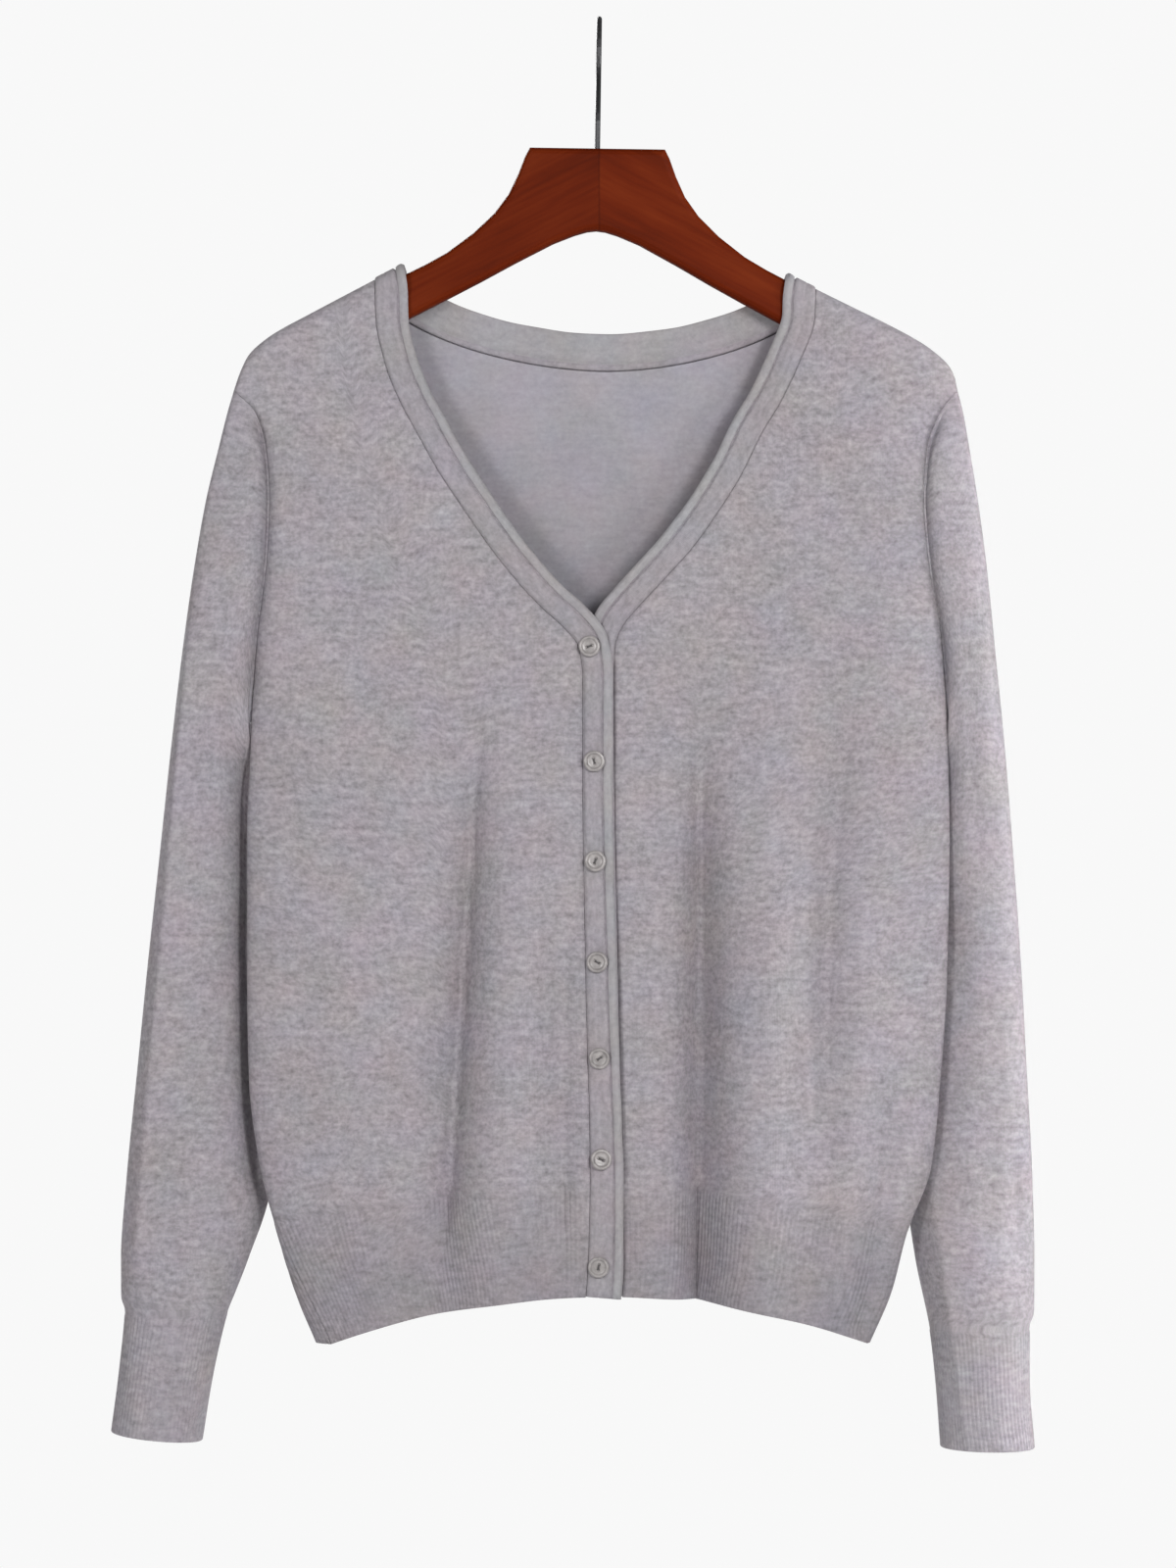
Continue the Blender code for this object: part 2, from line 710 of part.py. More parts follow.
def cloth_wall(name, outer, inner, closed, look, parent):
    """A thin wall between two skins, each a list of rows of points."""
    mesh = bmesh.new()
    skins = [[[mesh.verts.new(point) for point in row] for row in skin] for skin in (outer, inner)]
    for skin in skins:
        for first, second in zip(skin, skin[1:]):
            zip_rows(mesh, first, second, closed)
    for end in (0, -1):
        zip_rows(mesh, skins[0][end], skins[1][end], closed)
    if not closed:
        for n in range(len(outer) - 1):
            for edge in (0, -1):
                a, b = skins[0][n][edge], skins[0][n + 1][edge]
                mesh.faces.new((a, b, skins[1][n + 1][edge], skins[1][n][edge]))
    place(name, mesh, look, parent)


def ribbed_wall(name, surface, columns, rib_row, run_in, last, ribs, closed, look, parent):
    """A panel of plain knit down to `rib_row`, then ribs that stand out on its outer side to the last row.

    The plain rows share the columns. Below them the outer skin has two columns a rib, and the inner skin
    one column to two ribs.
    """

    def rib(n):
        return CLOTH / 2 + RIB_HEIGHT * (n % 2)

    outer = [offset_row(surface, columns, row, CLOTH / 2) for row in range(rib_row + 1)]
    inner = [offset_row(surface, columns, row, -CLOTH / 2) for row in range(rib_row + 1)]
    for row in (run_in, last):
        outer.append(offset_row(surface, even_columns(surface, row, ribs * 2, closed), row, rib))
        inner.append(offset_row(surface, even_columns(surface, row, ribs // 2, closed), row, -CLOTH / 2))
    cloth_wall(name, outer, inner, closed, look, parent)


def material(name, colour, roughness, metallic=0.0):
    made = bpy.data.materials.new(name)
    made.use_nodes = True
    shader = made.node_tree.nodes["Principled BSDF"]
    shader.inputs["Base Color"].default_value = (*colour, 1)
    shader.inputs["Roughness"].default_value = roughness
    shader.inputs["Metallic"].default_value = metallic
    return made


def rib_run_in(rib_row, length):
    """The row where ribs of a given length stand out fully, a little below the row where they start."""
    return rib_row + RIB_RUN_IN / length


def body_wall(name, surface, columns, knit, parent):
    last = len(BODY_ROWS) - 1
    rib_row = last - 1
    full = rib_run_in(rib_row, (1 - BODY_ROWS[rib_row].side) * (SHOULDER_Z - hem_z(HEM_HALF_WIDTH)))
    hem = [surface(u, last)[0] for u in columns]
    ribs = round(sum((b - a).length for a, b in zip(hem, hem[1:])) / RIB_PITCH)
    ribbed_wall(name, surface, columns, rib_row, full, last, ribs, False, knit, parent)


def neck_columns():
    """The back's columns: evenly over each shoulder and the neckline, and closer where it turns down."""

    def top_x(u):
        return back(u, 0)[0].x

    def find(x):
        low, high = 0.0, 1.0
        for _ in range(40):
            middle = (low + high) / 2
            low, high = (middle, high) if top_x(middle) < x else (low, middle)
        return (low + high) / 2

    left, right = find(NECK_X[-1]), find(NECK_X[1])
    turn_down = [find(NECK_X[side] - side * inset) for side in (-1, 1) for inset in NECK_TURN_INSETS]
    shoulders = [left * n / BACK_SHOULDER_COLUMNS for n in range(BACK_SHOULDER_COLUMNS + 1)]
    far = [mix(1, right, n / BACK_SHOULDER_COLUMNS) for n in range(BACK_SHOULDER_COLUMNS + 1)]
    first, last = find(NECK_X[-1] + NECK_TURN_REACH), find(NECK_X[1] - NECK_TURN_REACH)
    neck = [mix(first, last, n / BACK_NECK_COLUMNS) for n in range(BACK_NECK_COLUMNS + 1)]
    return sorted(shoulders + neck + turn_down + far), left, right


def make_sleeve(side, knit, parent):
    surface, columns = sleeve(side)
    last = len(SLEEVE_RINGS[side]) - 1
    cuff_length = SLEEVE_RINGS[side][CUFF_RING].outer_z - SLEEVE_RINGS[side][CUFF_RING + 1].outer_z
    full = rib_run_in(CUFF_RING, cuff_length)
    name = "right_sleeve" if side < 0 else "left_sleeve"
    ribbed_wall(name, surface, columns, CUFF_RING, full, last, CUFF_RIBS, True, knit, parent)


def band_section(z):
    """The band's outline as (across, out) from its seam and its inner face: flat, groove, rolled edge."""
    flat, roll = (read_table(BAND_WIDTHS, "z", column, z) for column in ("flat", "roll"))
    start = flat + BAND_GROOVE
    sewn = [
        (SEAM_GAP, 0),
        (SEAM_GAP, BAND_THICKNESS - BAND_EDGE),
        (SEAM_GAP + BAND_EDGE, BAND_THICKNESS),
        (flat - GROOVE_LEAD, BAND_THICKNESS),
        (flat + GROOVE_LEAD, BAND_THICKNESS - GROOVE_DEPTH),
    ]
    rolled = [(start + roll * point.share, point.height) for point in BAND_ROLL]
    return sewn + rolled + [(flat, 0)]


def band_stations():
    """Points of the band's seam and the outward normals, from one hem over the neck to the other."""
    last = len(BODY_ROWS) - 1
    columns, left, right = neck_columns()
    neck = [back(u, 0) for u in columns if left + 1e-6 < u < right - 1e-6]
    down_left = [front(-1)(1, row) for row in range(last, -1, -1)]
    return down_left + neck + [front(1)(1, row) for row in range(last + 1)]


def band_frames():
    """At each station the point, the direction across towards the opening, and the outward normal."""
    stations = band_stations()
    frames = []
    for n, (point, normal) in enumerate(stations):
        before, after = stations[max(0, n - 1)][0], stations[min(len(stations) - 1, n + 1)][0]
        along = (after - before).normalized()
        across = along.cross(normal).normalized()
        frames.append((point, across, across.cross(along).normalized()))
    return frames


def make_band(knit, parent):
    mesh = bmesh.new()
    loops = []
    for point, across, out in band_frames():
        section = band_section(point.z)
        loops.append([mesh.verts.new(point + across * a + out * (b - CLOTH / 2)) for a, b in section])
    for first, second in zip(loops, loops[1:]):
        zip_rows(mesh, first, second, True)
    mesh.faces.new(loops[0])
    mesh.faces.new(loops[-1])
    place("neck_and_front_band", mesh, knit, parent)


def turned(profile, segments):
    """A solid turned round Z from a profile of (radius, height) whose ends lie on the axis."""
    mesh = bmesh.new()
    rings = []
    for radius, height in profile[1:-1]:
        turns = [2 * math.pi * n / segments for n in range(segments)]
        ring = [mesh.verts.new((radius * math.cos(t), radius * math.sin(t), height)) for t in turns]
        rings.append(ring)
    for first, second in zip(rings, rings[1:]):
        zip_rows(mesh, first, second, True)
    for ring, (_, height) in ((rings[0], profile[0]), (rings[-1], profile[-1])):
        centre = mesh.verts.new((0, 0, height))
        for n, corner in enumerate(ring):
            mesh.faces.new((corner, ring[(n + 1) % segments], centre))
    return mesh


def make_buttons(shell, parent):
    """Seven buttons in a row on the band of side -1, each flat against it."""
    profile = [(row.radius * BUTTON_WIDTH / 2, row.height * BUTTON_THICKNESS) for row in BUTTON_PROFILE]
    frames = [frame for frame in band_frames() if frame[0].x < 0 and frame[0].z < BUTTON_STAND_Z]
    frames.sort(key=lambda frame: frame[0].z)
    heights = [frame[0].z for frame in frames]
    outer_face = BUTTON_SEAT - CLOTH / 2
    for n, z in enumerate(BUTTON_HEIGHTS, start=1):
        above = next(k for k in range(1, len(heights)) if heights[k] >= z or k == len(heights) - 1)
        share = (z - heights[above - 1]) / (heights[above] - heights[above - 1])
        point, across, out = (frames[above - 1][k].lerp(frames[above][k], share) for k in range(3))
        button = place(f"button_{n}", turned(profile, BUTTON_SIDES), shell, parent)
        button.rotation_mode = "QUATERNION"
        button.rotation_quaternion = out.to_track_quat("Z", "Y")
        button.location = (point + across * BUTTON_INSET + out * outer_face) * MM


def arm_end():
    """The round end of a hanger arm, from its top edge to its lower edge."""
    start = math.pi / 2 - ARM_SLOPE_ANGLE
    turns = [start - math.pi * n / ARM_END_STEPS for n in range(ARM_END_STEPS + 1)]
    return [
        Outline(ARM_END_X + ARM_END_RADIUS * math.cos(t), ARM_END_Z + ARM_END_RADIUS * math.sin(t))
        for t in turns
    ]


def make_hanger(wood, steel, parent):
    half = HANGER_TOP + arm_end() + HANGER_ARCH
    outline = [(p.x, p.z) for p in half] + [(0, ARCH_TOP_Z)] + [(-p.x, p.z) for p in reversed(half)]
    mesh = bmesh.new()
    front = [mesh.verts.new((x, -WOOD_THICKNESS / 2, z)) for x, z in outline]
    back = [mesh.verts.new((x, WOOD_THICKNESS / 2, z)) for x, z in outline]
    mesh.faces.new(front)
    mesh.faces.new(back)
    zip_rows(mesh, front, back, True)
    rounding = mesh.edges.layers.float.new("bevel_weight_edge")
    for edge in mesh.edges:
        on_one_face = edge.verts[0].co.y == edge.verts[1].co.y
        edge[rounding] = 1 if on_one_face else 0
    plate = place("hanger_wood", mesh, wood, parent)
    bevel = plate.modifiers.new("rounded edges", "BEVEL")
    bevel.width = WOOD_EDGE * MM
    bevel.segments = 3
    bevel.limit_method = "WEIGHT"

    radius = WIRE / 2 + HOOK_CLEARANCE
    low, high = WOOD_TOP_Z - HOOK_BORE_DEPTH, WOOD_TOP_Z + HOOK_BORE_DEPTH
    bore = turned([(0, high), (radius, high), (radius, low), (0, low)], BORE_SIDES)
    cutter = place("hook_bore", bore, steel, parent)
    cutter.hide_render = True
    cutter.display_type = "WIRE"
    drill = plate.modifiers.new("hook bore", "BOOLEAN")
    drill.object = cutter

    make_hook(steel, parent)


def make_hook(steel, parent):
    """A wire that rises from the wood and curls over in the plane of Y and Z."""
    centre_z = WIRE / 2 - HOOK_RADIUS
    join = HOOK_CURL_FROM
    head = centre_z - HOOK_RADIUS - HOOK_BEND_DROP
    joined = HOOK_RADIUS * math.cos(join), centre_z + HOOK_RADIUS * math.sin(join)
    path = [(0, WOOD_TOP_Z - HOOK_BORE_DEPTH + HOOK_CLEARANCE), (0, head)]
    for n in range(1, HOOK_BEND_STEPS):
        share = n / HOOK_BEND_STEPS
        y = hermite(0, joined[0], 0, -math.sin(join), HOOK_BEND_DROP, share)
        z = hermite(head, joined[1], 1, math.cos(join), HOOK_BEND_DROP, share)
        path.append((y, z))
    for n in range(HOOK_CURL_STEPS + 1):
        turn = mix(join, HOOK_CURL_TO, n / HOOK_CURL_STEPS)
        path.append((HOOK_RADIUS * math.cos(turn), centre_z + HOOK_RADIUS * math.sin(turn)))

    mesh = bmesh.new()
    rings = []
    for n, (y, z) in enumerate(path):
        before, after = path[max(0, n - 1)], path[min(len(path) - 1, n + 1)]
        along = Vector((0, after[0] - before[0], after[1] - before[1])).normalized()
        across_wire = Vector((0, along.z, -along.y))
        ring = []
        for k in range(WIRE_SEGMENTS):
            turn = 2 * math.pi * k / WIRE_SEGMENTS
            offset = Vector((math.cos(turn), 0, 0)) + across_wire * math.sin(turn)
            ring.append(mesh.verts.new(Vector((0, y, z)) + offset * WIRE / 2))
        rings.append(ring)
    for first, second in zip(rings, rings[1:]):
        zip_rows(mesh, first, second, True)
    mesh.faces.new(rings[0])
    mesh.faces.new(rings[-1])
    place("hanger_hook", mesh, steel, parent)


def main():
    for thing in list(bpy.data.objects):
        bpy.data.objects.remove(thing)
    rail_point = bpy.data.objects.new("rail_point", None)
    bpy.context.scene.collection.objects.link(rail_point)
    hanger = bpy.data.objects.new("hanger", None)
    hanger.matrix_world = Matrix.Rotation(HANGER_TILT, 4, "Y")
    bpy.context.scene.collection.objects.link(hanger)
    hanger.parent = rail_point

    knit = material("grey_melange_knit", (0.33, 0.32, 0.33), 0.95)
    body_wall("back", back, neck_columns()[0], knit, rail_point)
    front_columns = [n / FRONT_COLUMNS for n in range(FRONT_COLUMNS + 1)]
    body_wall("right_front", front(-1), front_columns, knit, rail_point)
    body_wall("left_front", front(1), front_columns, knit, rail_point)
    for side in (-1, 1):
        make_sleeve(side, knit, rail_point)
    make_band(knit, rail_point)
    make_buttons(material("button_resin", (0.5, 0.48, 0.46), 0.35), rail_point)
    wood = material("mahogany", (0.22, 0.045, 0.02), 0.4)
    make_hanger(wood, material("blackened_steel", (0.1, 0.1, 0.1), 0.35, 1.0), hanger)


main()
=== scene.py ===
"""The looks of a fine-knit button cardigan on its wooden hanger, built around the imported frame.

The cloth follows the surfaces that its solids are made on, so the sizes of the body, sleeves and band are
stated here as they are there. They are in millimetres and are scaled once, in `finished`. X points right
for someone who looks at the front, Y to the back and Z up from the top of the hook. Side -1 is at -X.
"""

import math
from collections import namedtuple

import bmesh
import bpy
import numpy as np
from mathutils import Matrix, Vector


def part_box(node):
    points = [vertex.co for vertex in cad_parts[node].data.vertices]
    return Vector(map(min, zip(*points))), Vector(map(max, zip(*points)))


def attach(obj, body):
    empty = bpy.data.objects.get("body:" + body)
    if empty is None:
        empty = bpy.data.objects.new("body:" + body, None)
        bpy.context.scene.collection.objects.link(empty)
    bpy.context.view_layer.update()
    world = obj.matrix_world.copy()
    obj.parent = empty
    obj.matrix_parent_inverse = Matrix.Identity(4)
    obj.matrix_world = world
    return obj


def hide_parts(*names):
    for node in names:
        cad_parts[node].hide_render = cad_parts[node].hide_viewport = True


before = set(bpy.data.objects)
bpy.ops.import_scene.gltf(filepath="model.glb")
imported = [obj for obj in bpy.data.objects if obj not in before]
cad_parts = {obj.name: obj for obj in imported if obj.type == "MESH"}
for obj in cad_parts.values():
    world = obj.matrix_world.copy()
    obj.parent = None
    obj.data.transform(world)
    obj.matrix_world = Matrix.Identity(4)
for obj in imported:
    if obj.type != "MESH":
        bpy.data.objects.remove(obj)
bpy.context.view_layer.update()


def table(columns, *rows):
    """A list of rows with named columns."""
    named = namedtuple("row", columns)
    return [named(*row) for row in rows]


MM = 0.001
CLOTH = 1.4  # thickness of the knit
SEAM_GAP = 0.3
SEAM = 0.12  # what is left of it between the knitted pieces
SHOULDER_Z = -203.5  # shoulder point, below the hook's apex
UNDERARM_Z = -388
HEM_Z = -699  # hem at the middle
HEM_DROP = 27.5  # how much lower the hem is at the sides
HEM_HALF_WIDTH = 147
HEM_POWER = 1.9
SECTION_POWER = 2.1  # 2 would be an ellipse
RIDGE_HALF = 8  # half thickness of the cloth where it bends over the hanger
RIDGE_DROP = 9  # depth over which that bend turns down
RIDGE_POWER = 2.5
FALL = 75  # below the ridge the body opens out over this distance
NECK_X = {-1: -123.6, 1: 119}
BACK_NECK_Z = -189
BACK_NECK_X = 5
BACK_NECK_POWER = 1.8
BACK_NECK_ROUNDING = 0.625
SIDE_CLEAR = 0.004  # angle between the front and the back at their side seam, in radians
SIDE_SEAM_TURN = 0.34  # how far round to the front the side seam of side -1 comes at the hem, in radians
SEAM_TURN_Z = -620
LAP = 3.4  # distance between the two front bands, one behind the other
LAP_START_Z = -258
LAP_FADE = 62
LAP_X = 1
LAP_REACH = 45
BUTTON_WIDTH = 11.7
BUTTON_STAND_Z = -330  # the band is upright from here down

# The body's cross-section by height: its two sides, its depth to the front and back, and how far
# forward its side edges lie.
BODY_LEVELS = table(
    "z left right front back tip",
    (-204, -206, 201, 13, 12, 0),
    (-269, -204, 201, 18, 15, -1),
    (-339, -197, 197, 22, 18, -3),
    (-388, -191, 191, 25, 20, -4),
    (-447, -193, 192, 28, 23, -6),
    (-528, -193, 190.5, 31, 26, -6),
    (-582, -192, 187, 33, 28, -6),
    (-630, -186, 182, 34, 29, -5),
    (-668, -176, 168, 33, 28, -5),
    (-699, -166.5, 160, 32, 27, -4),
    (-727, -155, 148, 31, 27, -4),
)

# The line of the shoulders over the hanger.
SHOULDER_RIDGE = table(
    "x z",
    (-200.6, -203.5),
    (-197.4, -194),
    (-192.5, -184),
    (-186, -177.5),
    (-178, -171.8),
    (-160, -162),
    (-124, -143),
    (-106, -133.6),
    (0, -80),
    (106, -141),
    (120, -148.3),
    (140, -158.2),
    (160, -168),
    (178, -178),
    (186, -184),
    (192, -190),
    (195, -196),
    (196.6, -203.5),
)

# The armhole's edge on the body.
ARMHOLE = table(
    "z left right",
    (-203.5, -200.6, 196.6),
    (-216, -188.5, 187),
    (-235, -183, 180),
    (-262, -181, 178),
    (-292, -182, 180),
    (-340, -187.5, 187.5),
    (-388, -191, 191),
)

# The seam that joins the band to each front: the V, then the button stand.
BAND_SEAM = table(
    "z left right",
    (-142, -123.6, 119.1),
    (-163, -123, 118.6),
    (-189, -117.7, 109.6),
    (-210, -109.4, 99.7),
    (-228, -99.7, 88.9),
    (-251, -86.7, 77.5),
    (-271, -73.3, 65),
    (-291, -59.3, 50.6),
    (-308, -45.9, 35.4),
    (-324, -31, 20.5),
    (-334, -20, 12.6),
    (-345, -11.4, 8.6),
    (-362, -9.2, 8),
    (-409, -9.2, 8.2),
    (-527, -7.5, 10.4),
    (-634, -5.1, 12.5),
    (-682, -6.2, 13.6),
    (-700, -7.5, 12.5),
)

# The flat part of the band and the rolled edge beyond its groove, by height.
BAND_WIDTHS = table(
    "z flat roll",
    (-140, 12.6, 4.6),
    (-330, 11, 4.7),
    (-409, 10.4, 4.8),
    (-527, 11.4, 4.6),
    (-634, 12.8, 4.4),
    (-700, 13.8, 4.4),
)
BAND_THICKNESS = 2.4  # a doubled strip
BAND_GROOVE = 1.1  # width of the groove

# The rolled edge: how far across it, and how high over the band's inner face.
BAND_ROLL = table(
    "share height",
    (0, 2.2),
    (0.35, 2.7),
    (0.75, 2.5),
    (1, 0.9),
    (0.85, -0.2),
    (0.4, -0.3),
)

# Soft folds that run down from the bust: a ridge stands out and a trough has a negative height.
FOLD = "top_x top_z low_x low_z height width"
FRONT_FOLDS = table(
    FOLD,
    (-38, -390, -58, -730, 9, 21),
    (-78, -420, -96, -730, -4, 16),
    (88, -390, 90, -730, 11, 23),
    (52, -420, 57, -730, -5, 15),
    (146, -330, 136, -660, 4, 14),
    (-140, -440, -128, -730, 3.5, 20),
)
BACK_FOLDS = table(
    FOLD,
    (-70, -400, -84, -730, 9, 24),
    (-20, -430, -30, -730, -4, 18),
    (48, -380, 62, -730, 10, 23),
    (118, -440, 108, -730, 4, 16),
)
FOLD_RUN_IN = 0.45  # share of a fold's length over which it deepens
VALLEY_DEPTH = 7  # the cloth dips where a sleeve is sewn in
VALLEY_OUT = 1.8  # the valley's lowest line lies this far beyond the seam
VALLEY_WIDTH = 3.2
VALLEY_TOP = (6, 18)  # it starts this far below the shoulder point and deepens over this height
VALLEY_END = (2, 24)  # and the same upwards from the underarm

# Rings of each sleeve, from the armhole to the cuff's edge: the outer and the inner fold, half of the
# depth, how far back the middle is, and how far the outer fold stands forward of it.
RING_COLUMNS = "outer_x outer_z inner_x inner_z depth back lead"
SLEEVE_RINGS = {
    -1: table(
        RING_COLUMNS,
        (-200.6, -203.5, -191, -388, 8, 0, 0),
        (-203.9, -214.7, -193.4, -391, 12, 0, 0),
        (-209.3, -236.3, -192.4, -396, 15, 0.5, 1),
        (-215.7, -263.3, -191.6, -405, 19, 2, 4),
        (-222.2, -301, -191.8, -420, 23, 5, 9),
        (-228.2, -344, -189.5, -441, 26, 9, 14),
        (-234.6, -398, -185, -471, 27, 12, 17),
        (-241.1, -458, -182, -509, 28, 14, 18),
        (-247.6, -517, -180, -549, 28, 15, 18),
        (-253.5, -576.5, -180, -592, 28, 14, 17),
        (-259.5, -636, -182.5, -641, 28, 10, 12),
        (-262.7, -679, -194, -680, 28, 6, 7),
        (-262.7, -701, -202, -701, 27.5, 5, 5),
        (-260.6, -711, -206, -711, 25.5, 5, 4),
        (-263.8, -744, -214, -745, 25, 4, 3),
        (-268, -776, -220, -781.5, 26, 4, 3),
    ),
    1: table(
        RING_COLUMNS,
        (196.6, -203.5, 191, -388, 8, 0, 0),
        (199.5, -214.7, 193.2, -391, 12, 0, 0),
        (203.3, -236.3, 192, -396, 15, 0.5, 1),
        (207.6, -263.3, 191, -405, 19, 2, 4),
        (212.5, -301, 190.4, -420, 23, 5, 9),
        (216.8, -344, 187, -441, 26, 10, 15),
        (222.2, -398, 182, -471, 27, 14, 18),
        (227.1, -458, 178.5, -509, 27, 17, 20),
        (231.4, -517, 175.5, -549, 27, 18, 20),
        (234.6, -576.5, 173, -592, 27, 17, 19),
        (237.9, -636, 171, -638, 27, 14, 14),
        (239, -679, 175.2, -679, 28, 8, 8),
        (239, -709, 181.2, -709, 27.5, 6, 5),
        (236.3, -720, 183.3, -720, 25.5, 5, 4),
        (236.3, -749, 186.6, -749, 25, 4, 3),
        (239, -785, 189.3, -785, 26, 4, 3),
    ),
}
CUFF_RING = 13  # the ring where the ribbed cuff starts
ARMHOLE_RINGS = 5  # rings over which the tube takes up the shape of the armhole
ARMHOLE_ROUNDING = 0.85 # how blunt the long narrow rings by the armhole are at their ends, 1 for an ellipse
UNDERARM_STEP = 1.8  # the sleeve hangs beside the body here, not edge to edge with it
UNDERARM_STEP_POWER = 4  # how near the underarm that step comes
UNDERARM_FOLD_POWER = 8  # and how near it the sleeve's edge folds over to face down

# Rows of the body panels, as shares of the way from the shoulder or neck down to the hem.
BODY_ROWS = table(
    "side middle",
    (0, 0),
    (0.003, 0.003),
    (0.009, 0.009),
    (0.02, 0.02),
    (0.055, 0.05),
    (0.1, 0.095),
    (0.15, 0.145),
    (0.2, 0.195),
    (0.245, 0.245),
    (0.28, 0.285),
    (0.305, 0.315),
    (0.325, 0.335),
    (0.34, 0.35),
    (0.353, 0.368),
    (0.385, 0.4),
    (0.45, 0.465),
    (0.54, 0.56),
    (0.63, 0.65),
    (0.71, 0.73),
    (0.79, 0.81),
    (0.872, 0.893),
    (1, 1),
)
UNDERARM_ROW = 13
ROW_LEVELLING = 6  # how soon the rows become level below the shoulders
ROW_BOW = 1.5  # how a row eases from its height at the middle to that at the side
FRONT_SPREAD = 0.09  # columns of a front stand closer together near the middle, where its folds are
BACK_SPREAD = 0.02  # columns of the back stand closer together at its sides

# Meshing.
STEP = 2.7  # distance between rows of the cloth's mesh
FINE_STEP = 1.0  # and where it bends over the shoulder
FINE_ROWS = 3
FRONT_COLUMNS = 78
BACK_COLUMNS = 150
SLEEVE_COLUMNS = 96
NECK_STATIONS = 110
BAND_EASE = 5.0  # the band's direction is taken over this distance to each side

# The sleeve's edge inside the body: how far beyond its seam, and how far below its inner face.
ALLOWANCE = [(0.1, 0.06), (3.0, 0.2), (3.0, 0.7), (0.1, 0.6), (0.1, 0.06)]

# Stitches and ribs.
WALE = 0.9
COURSE = 0.66
RIB_PITCH = 2.3
RIB_COLUMNS = 6  # columns to a rib
RIB_HEIGHT = 0.3
SLEEVE_SLANT = 0.45  # share of the slope of the rings near the armhole that the streaks take up
RIB_RUN_IN = 4  # height over which the ribs grow out of the plain knit
RIB_RUN_IN_ROWS = 4
RIB_BLUNTNESS = 0.7  # 1 would make a sine wave of the ribs, less makes them fuller
RIB_ROW_STEP = 5.0
HEM_ROLL = 0.55  # how far an open edge bulges beyond its rows
CUFF_RIBS = 68
HEM_WIDTHS = {"right_front": 153, "left_front": 150, "back": 318}
EDGE_STEP = 0.03  # in rows, to find which way the cloth runs at the armhole

# The band's flat part as shares of its width, and how far below its thickness it lies there.
BAND_FLAT = [(0.12, 0.02), (0.3, 0), (0.44, 0.02), (0.49, 0.2), (0.54, 0.02), (0.7, 0), (0.86, 0)]

# Its edges in millimetres: how far beyond the seam or the flat part, and how high over the inner face.
LINK_CLEAR = 0.12  # room below the inner face, where the linking stitches go round the edge
BAND_SEWN = [(0, -LINK_CLEAR), (0, 1.0), (0.35, 1.65), (1.1, 2.2)]
BAND_GROOVED = [(-0.5, BAND_THICKNESS), (-0.05, 1.7), (0.3, 0.95), (0.6, 1.1)]
ROLL_WAVE = 0.02
ROLL_WAVES = [(9.1, 0), (5.3, 1), (23.0, 0)]  # length of each wave over 2 pi, and its start in radians
LINK_WAVES = [(1.9, 0), (3.1, 2), (7.7, 0)]
LINK_REACH = 3.0  # the ridge of linking stitches on the inside, along the band's seam
LINK_START = 0.9  # it starts this far inside the band
LINK_EDGE = 0.25  # height of its outer edge
LINK_HEIGHT = 1.1
LINK_LUMP = 0.13
LINK_LOW = 0.4  # height of that ridge where the band lies on the hanger
LINK_TOP_Z = -150
LINK_FADE = 14
BACK_START = 2.0  # the band's inner face is flat from here on
ROLL_FIRST = 20  # the section's points from here on lie on the roll

# Buttons: the turn of each round its axis and its tilts, in degrees, for buttons 1 to 7.
BUTTON_TURNS = [
    (20, 0, 0),
    (105, 4, 0),
    (70, 0, -3),
    (150, -3, 0),
    (35, 3, 2),
    (-25, 14, -6),
    (80, -4, 2),
]
HOLE_OUT = 0.25  # from the middle, as a share of the radius
HOLE_RADIUS = 0.125
HOLE_EASE = 0.03  # half of the width over which its edge rounds off
HOLE_FLOOR = 0.06  # height of its floor over the button's back
RECESS = (0.36, 0.17, 0.03)  # half length, half width and depth of the recess round the two holes
BUTTON_STAND_X = 20  # the button stand lies on this side of it
BUTTON_MIDDLE = 1.2  # from the button's back to its middle
FACE_CIRCLES = (0.62, 24)  # radius of the last circle of points inside the rim, and how many there are
RIM_CIRCLES = (0.65, 1, 14)  # the same for the rim, with the first one's radius before them
BUTTON_STEPS = 64  # points round it
BUTTON_BACK = [(0.985, 0.1), (0.93, 0.02), (0.8, 0.0), (0.0, 0.0)]  # radius and height
THREAD_SHIFT = 0.035  # each of the two strands lies this far from the line of the holes
THREAD_RADIUS = 0.048
THREAD_HEIGHT = 0.25  # height of a strand between the holes
THREAD_SINK = 0.17  # and how much lower it is in them

# Cut of each sheet of cloth, in metres and square metres.
CUTS = {
    "back": {"flat": (0.40, 0.56), "area": 0.2, "rests_on": ["hanger_wood"]},
    "right_front": {"flat": (0.21, 0.6), "area": 0.085, "rests_on": ["hanger_wood"]},
    "left_front": {"flat": (0.21, 0.6), "area": 0.085, "rests_on": ["hanger_wood"]},
    "right_sleeve": {"flat": (0.2, 0.58), "area": 0.09, "rests_on": ["right_front_knit"]},
    "left_sleeve": {"flat": (0.2, 0.58), "area": 0.09, "rests_on": ["left_front_knit"]},
    "band": {"flat": (0.02, 1.42), "rests_on": ["right_front_knit"]},
}

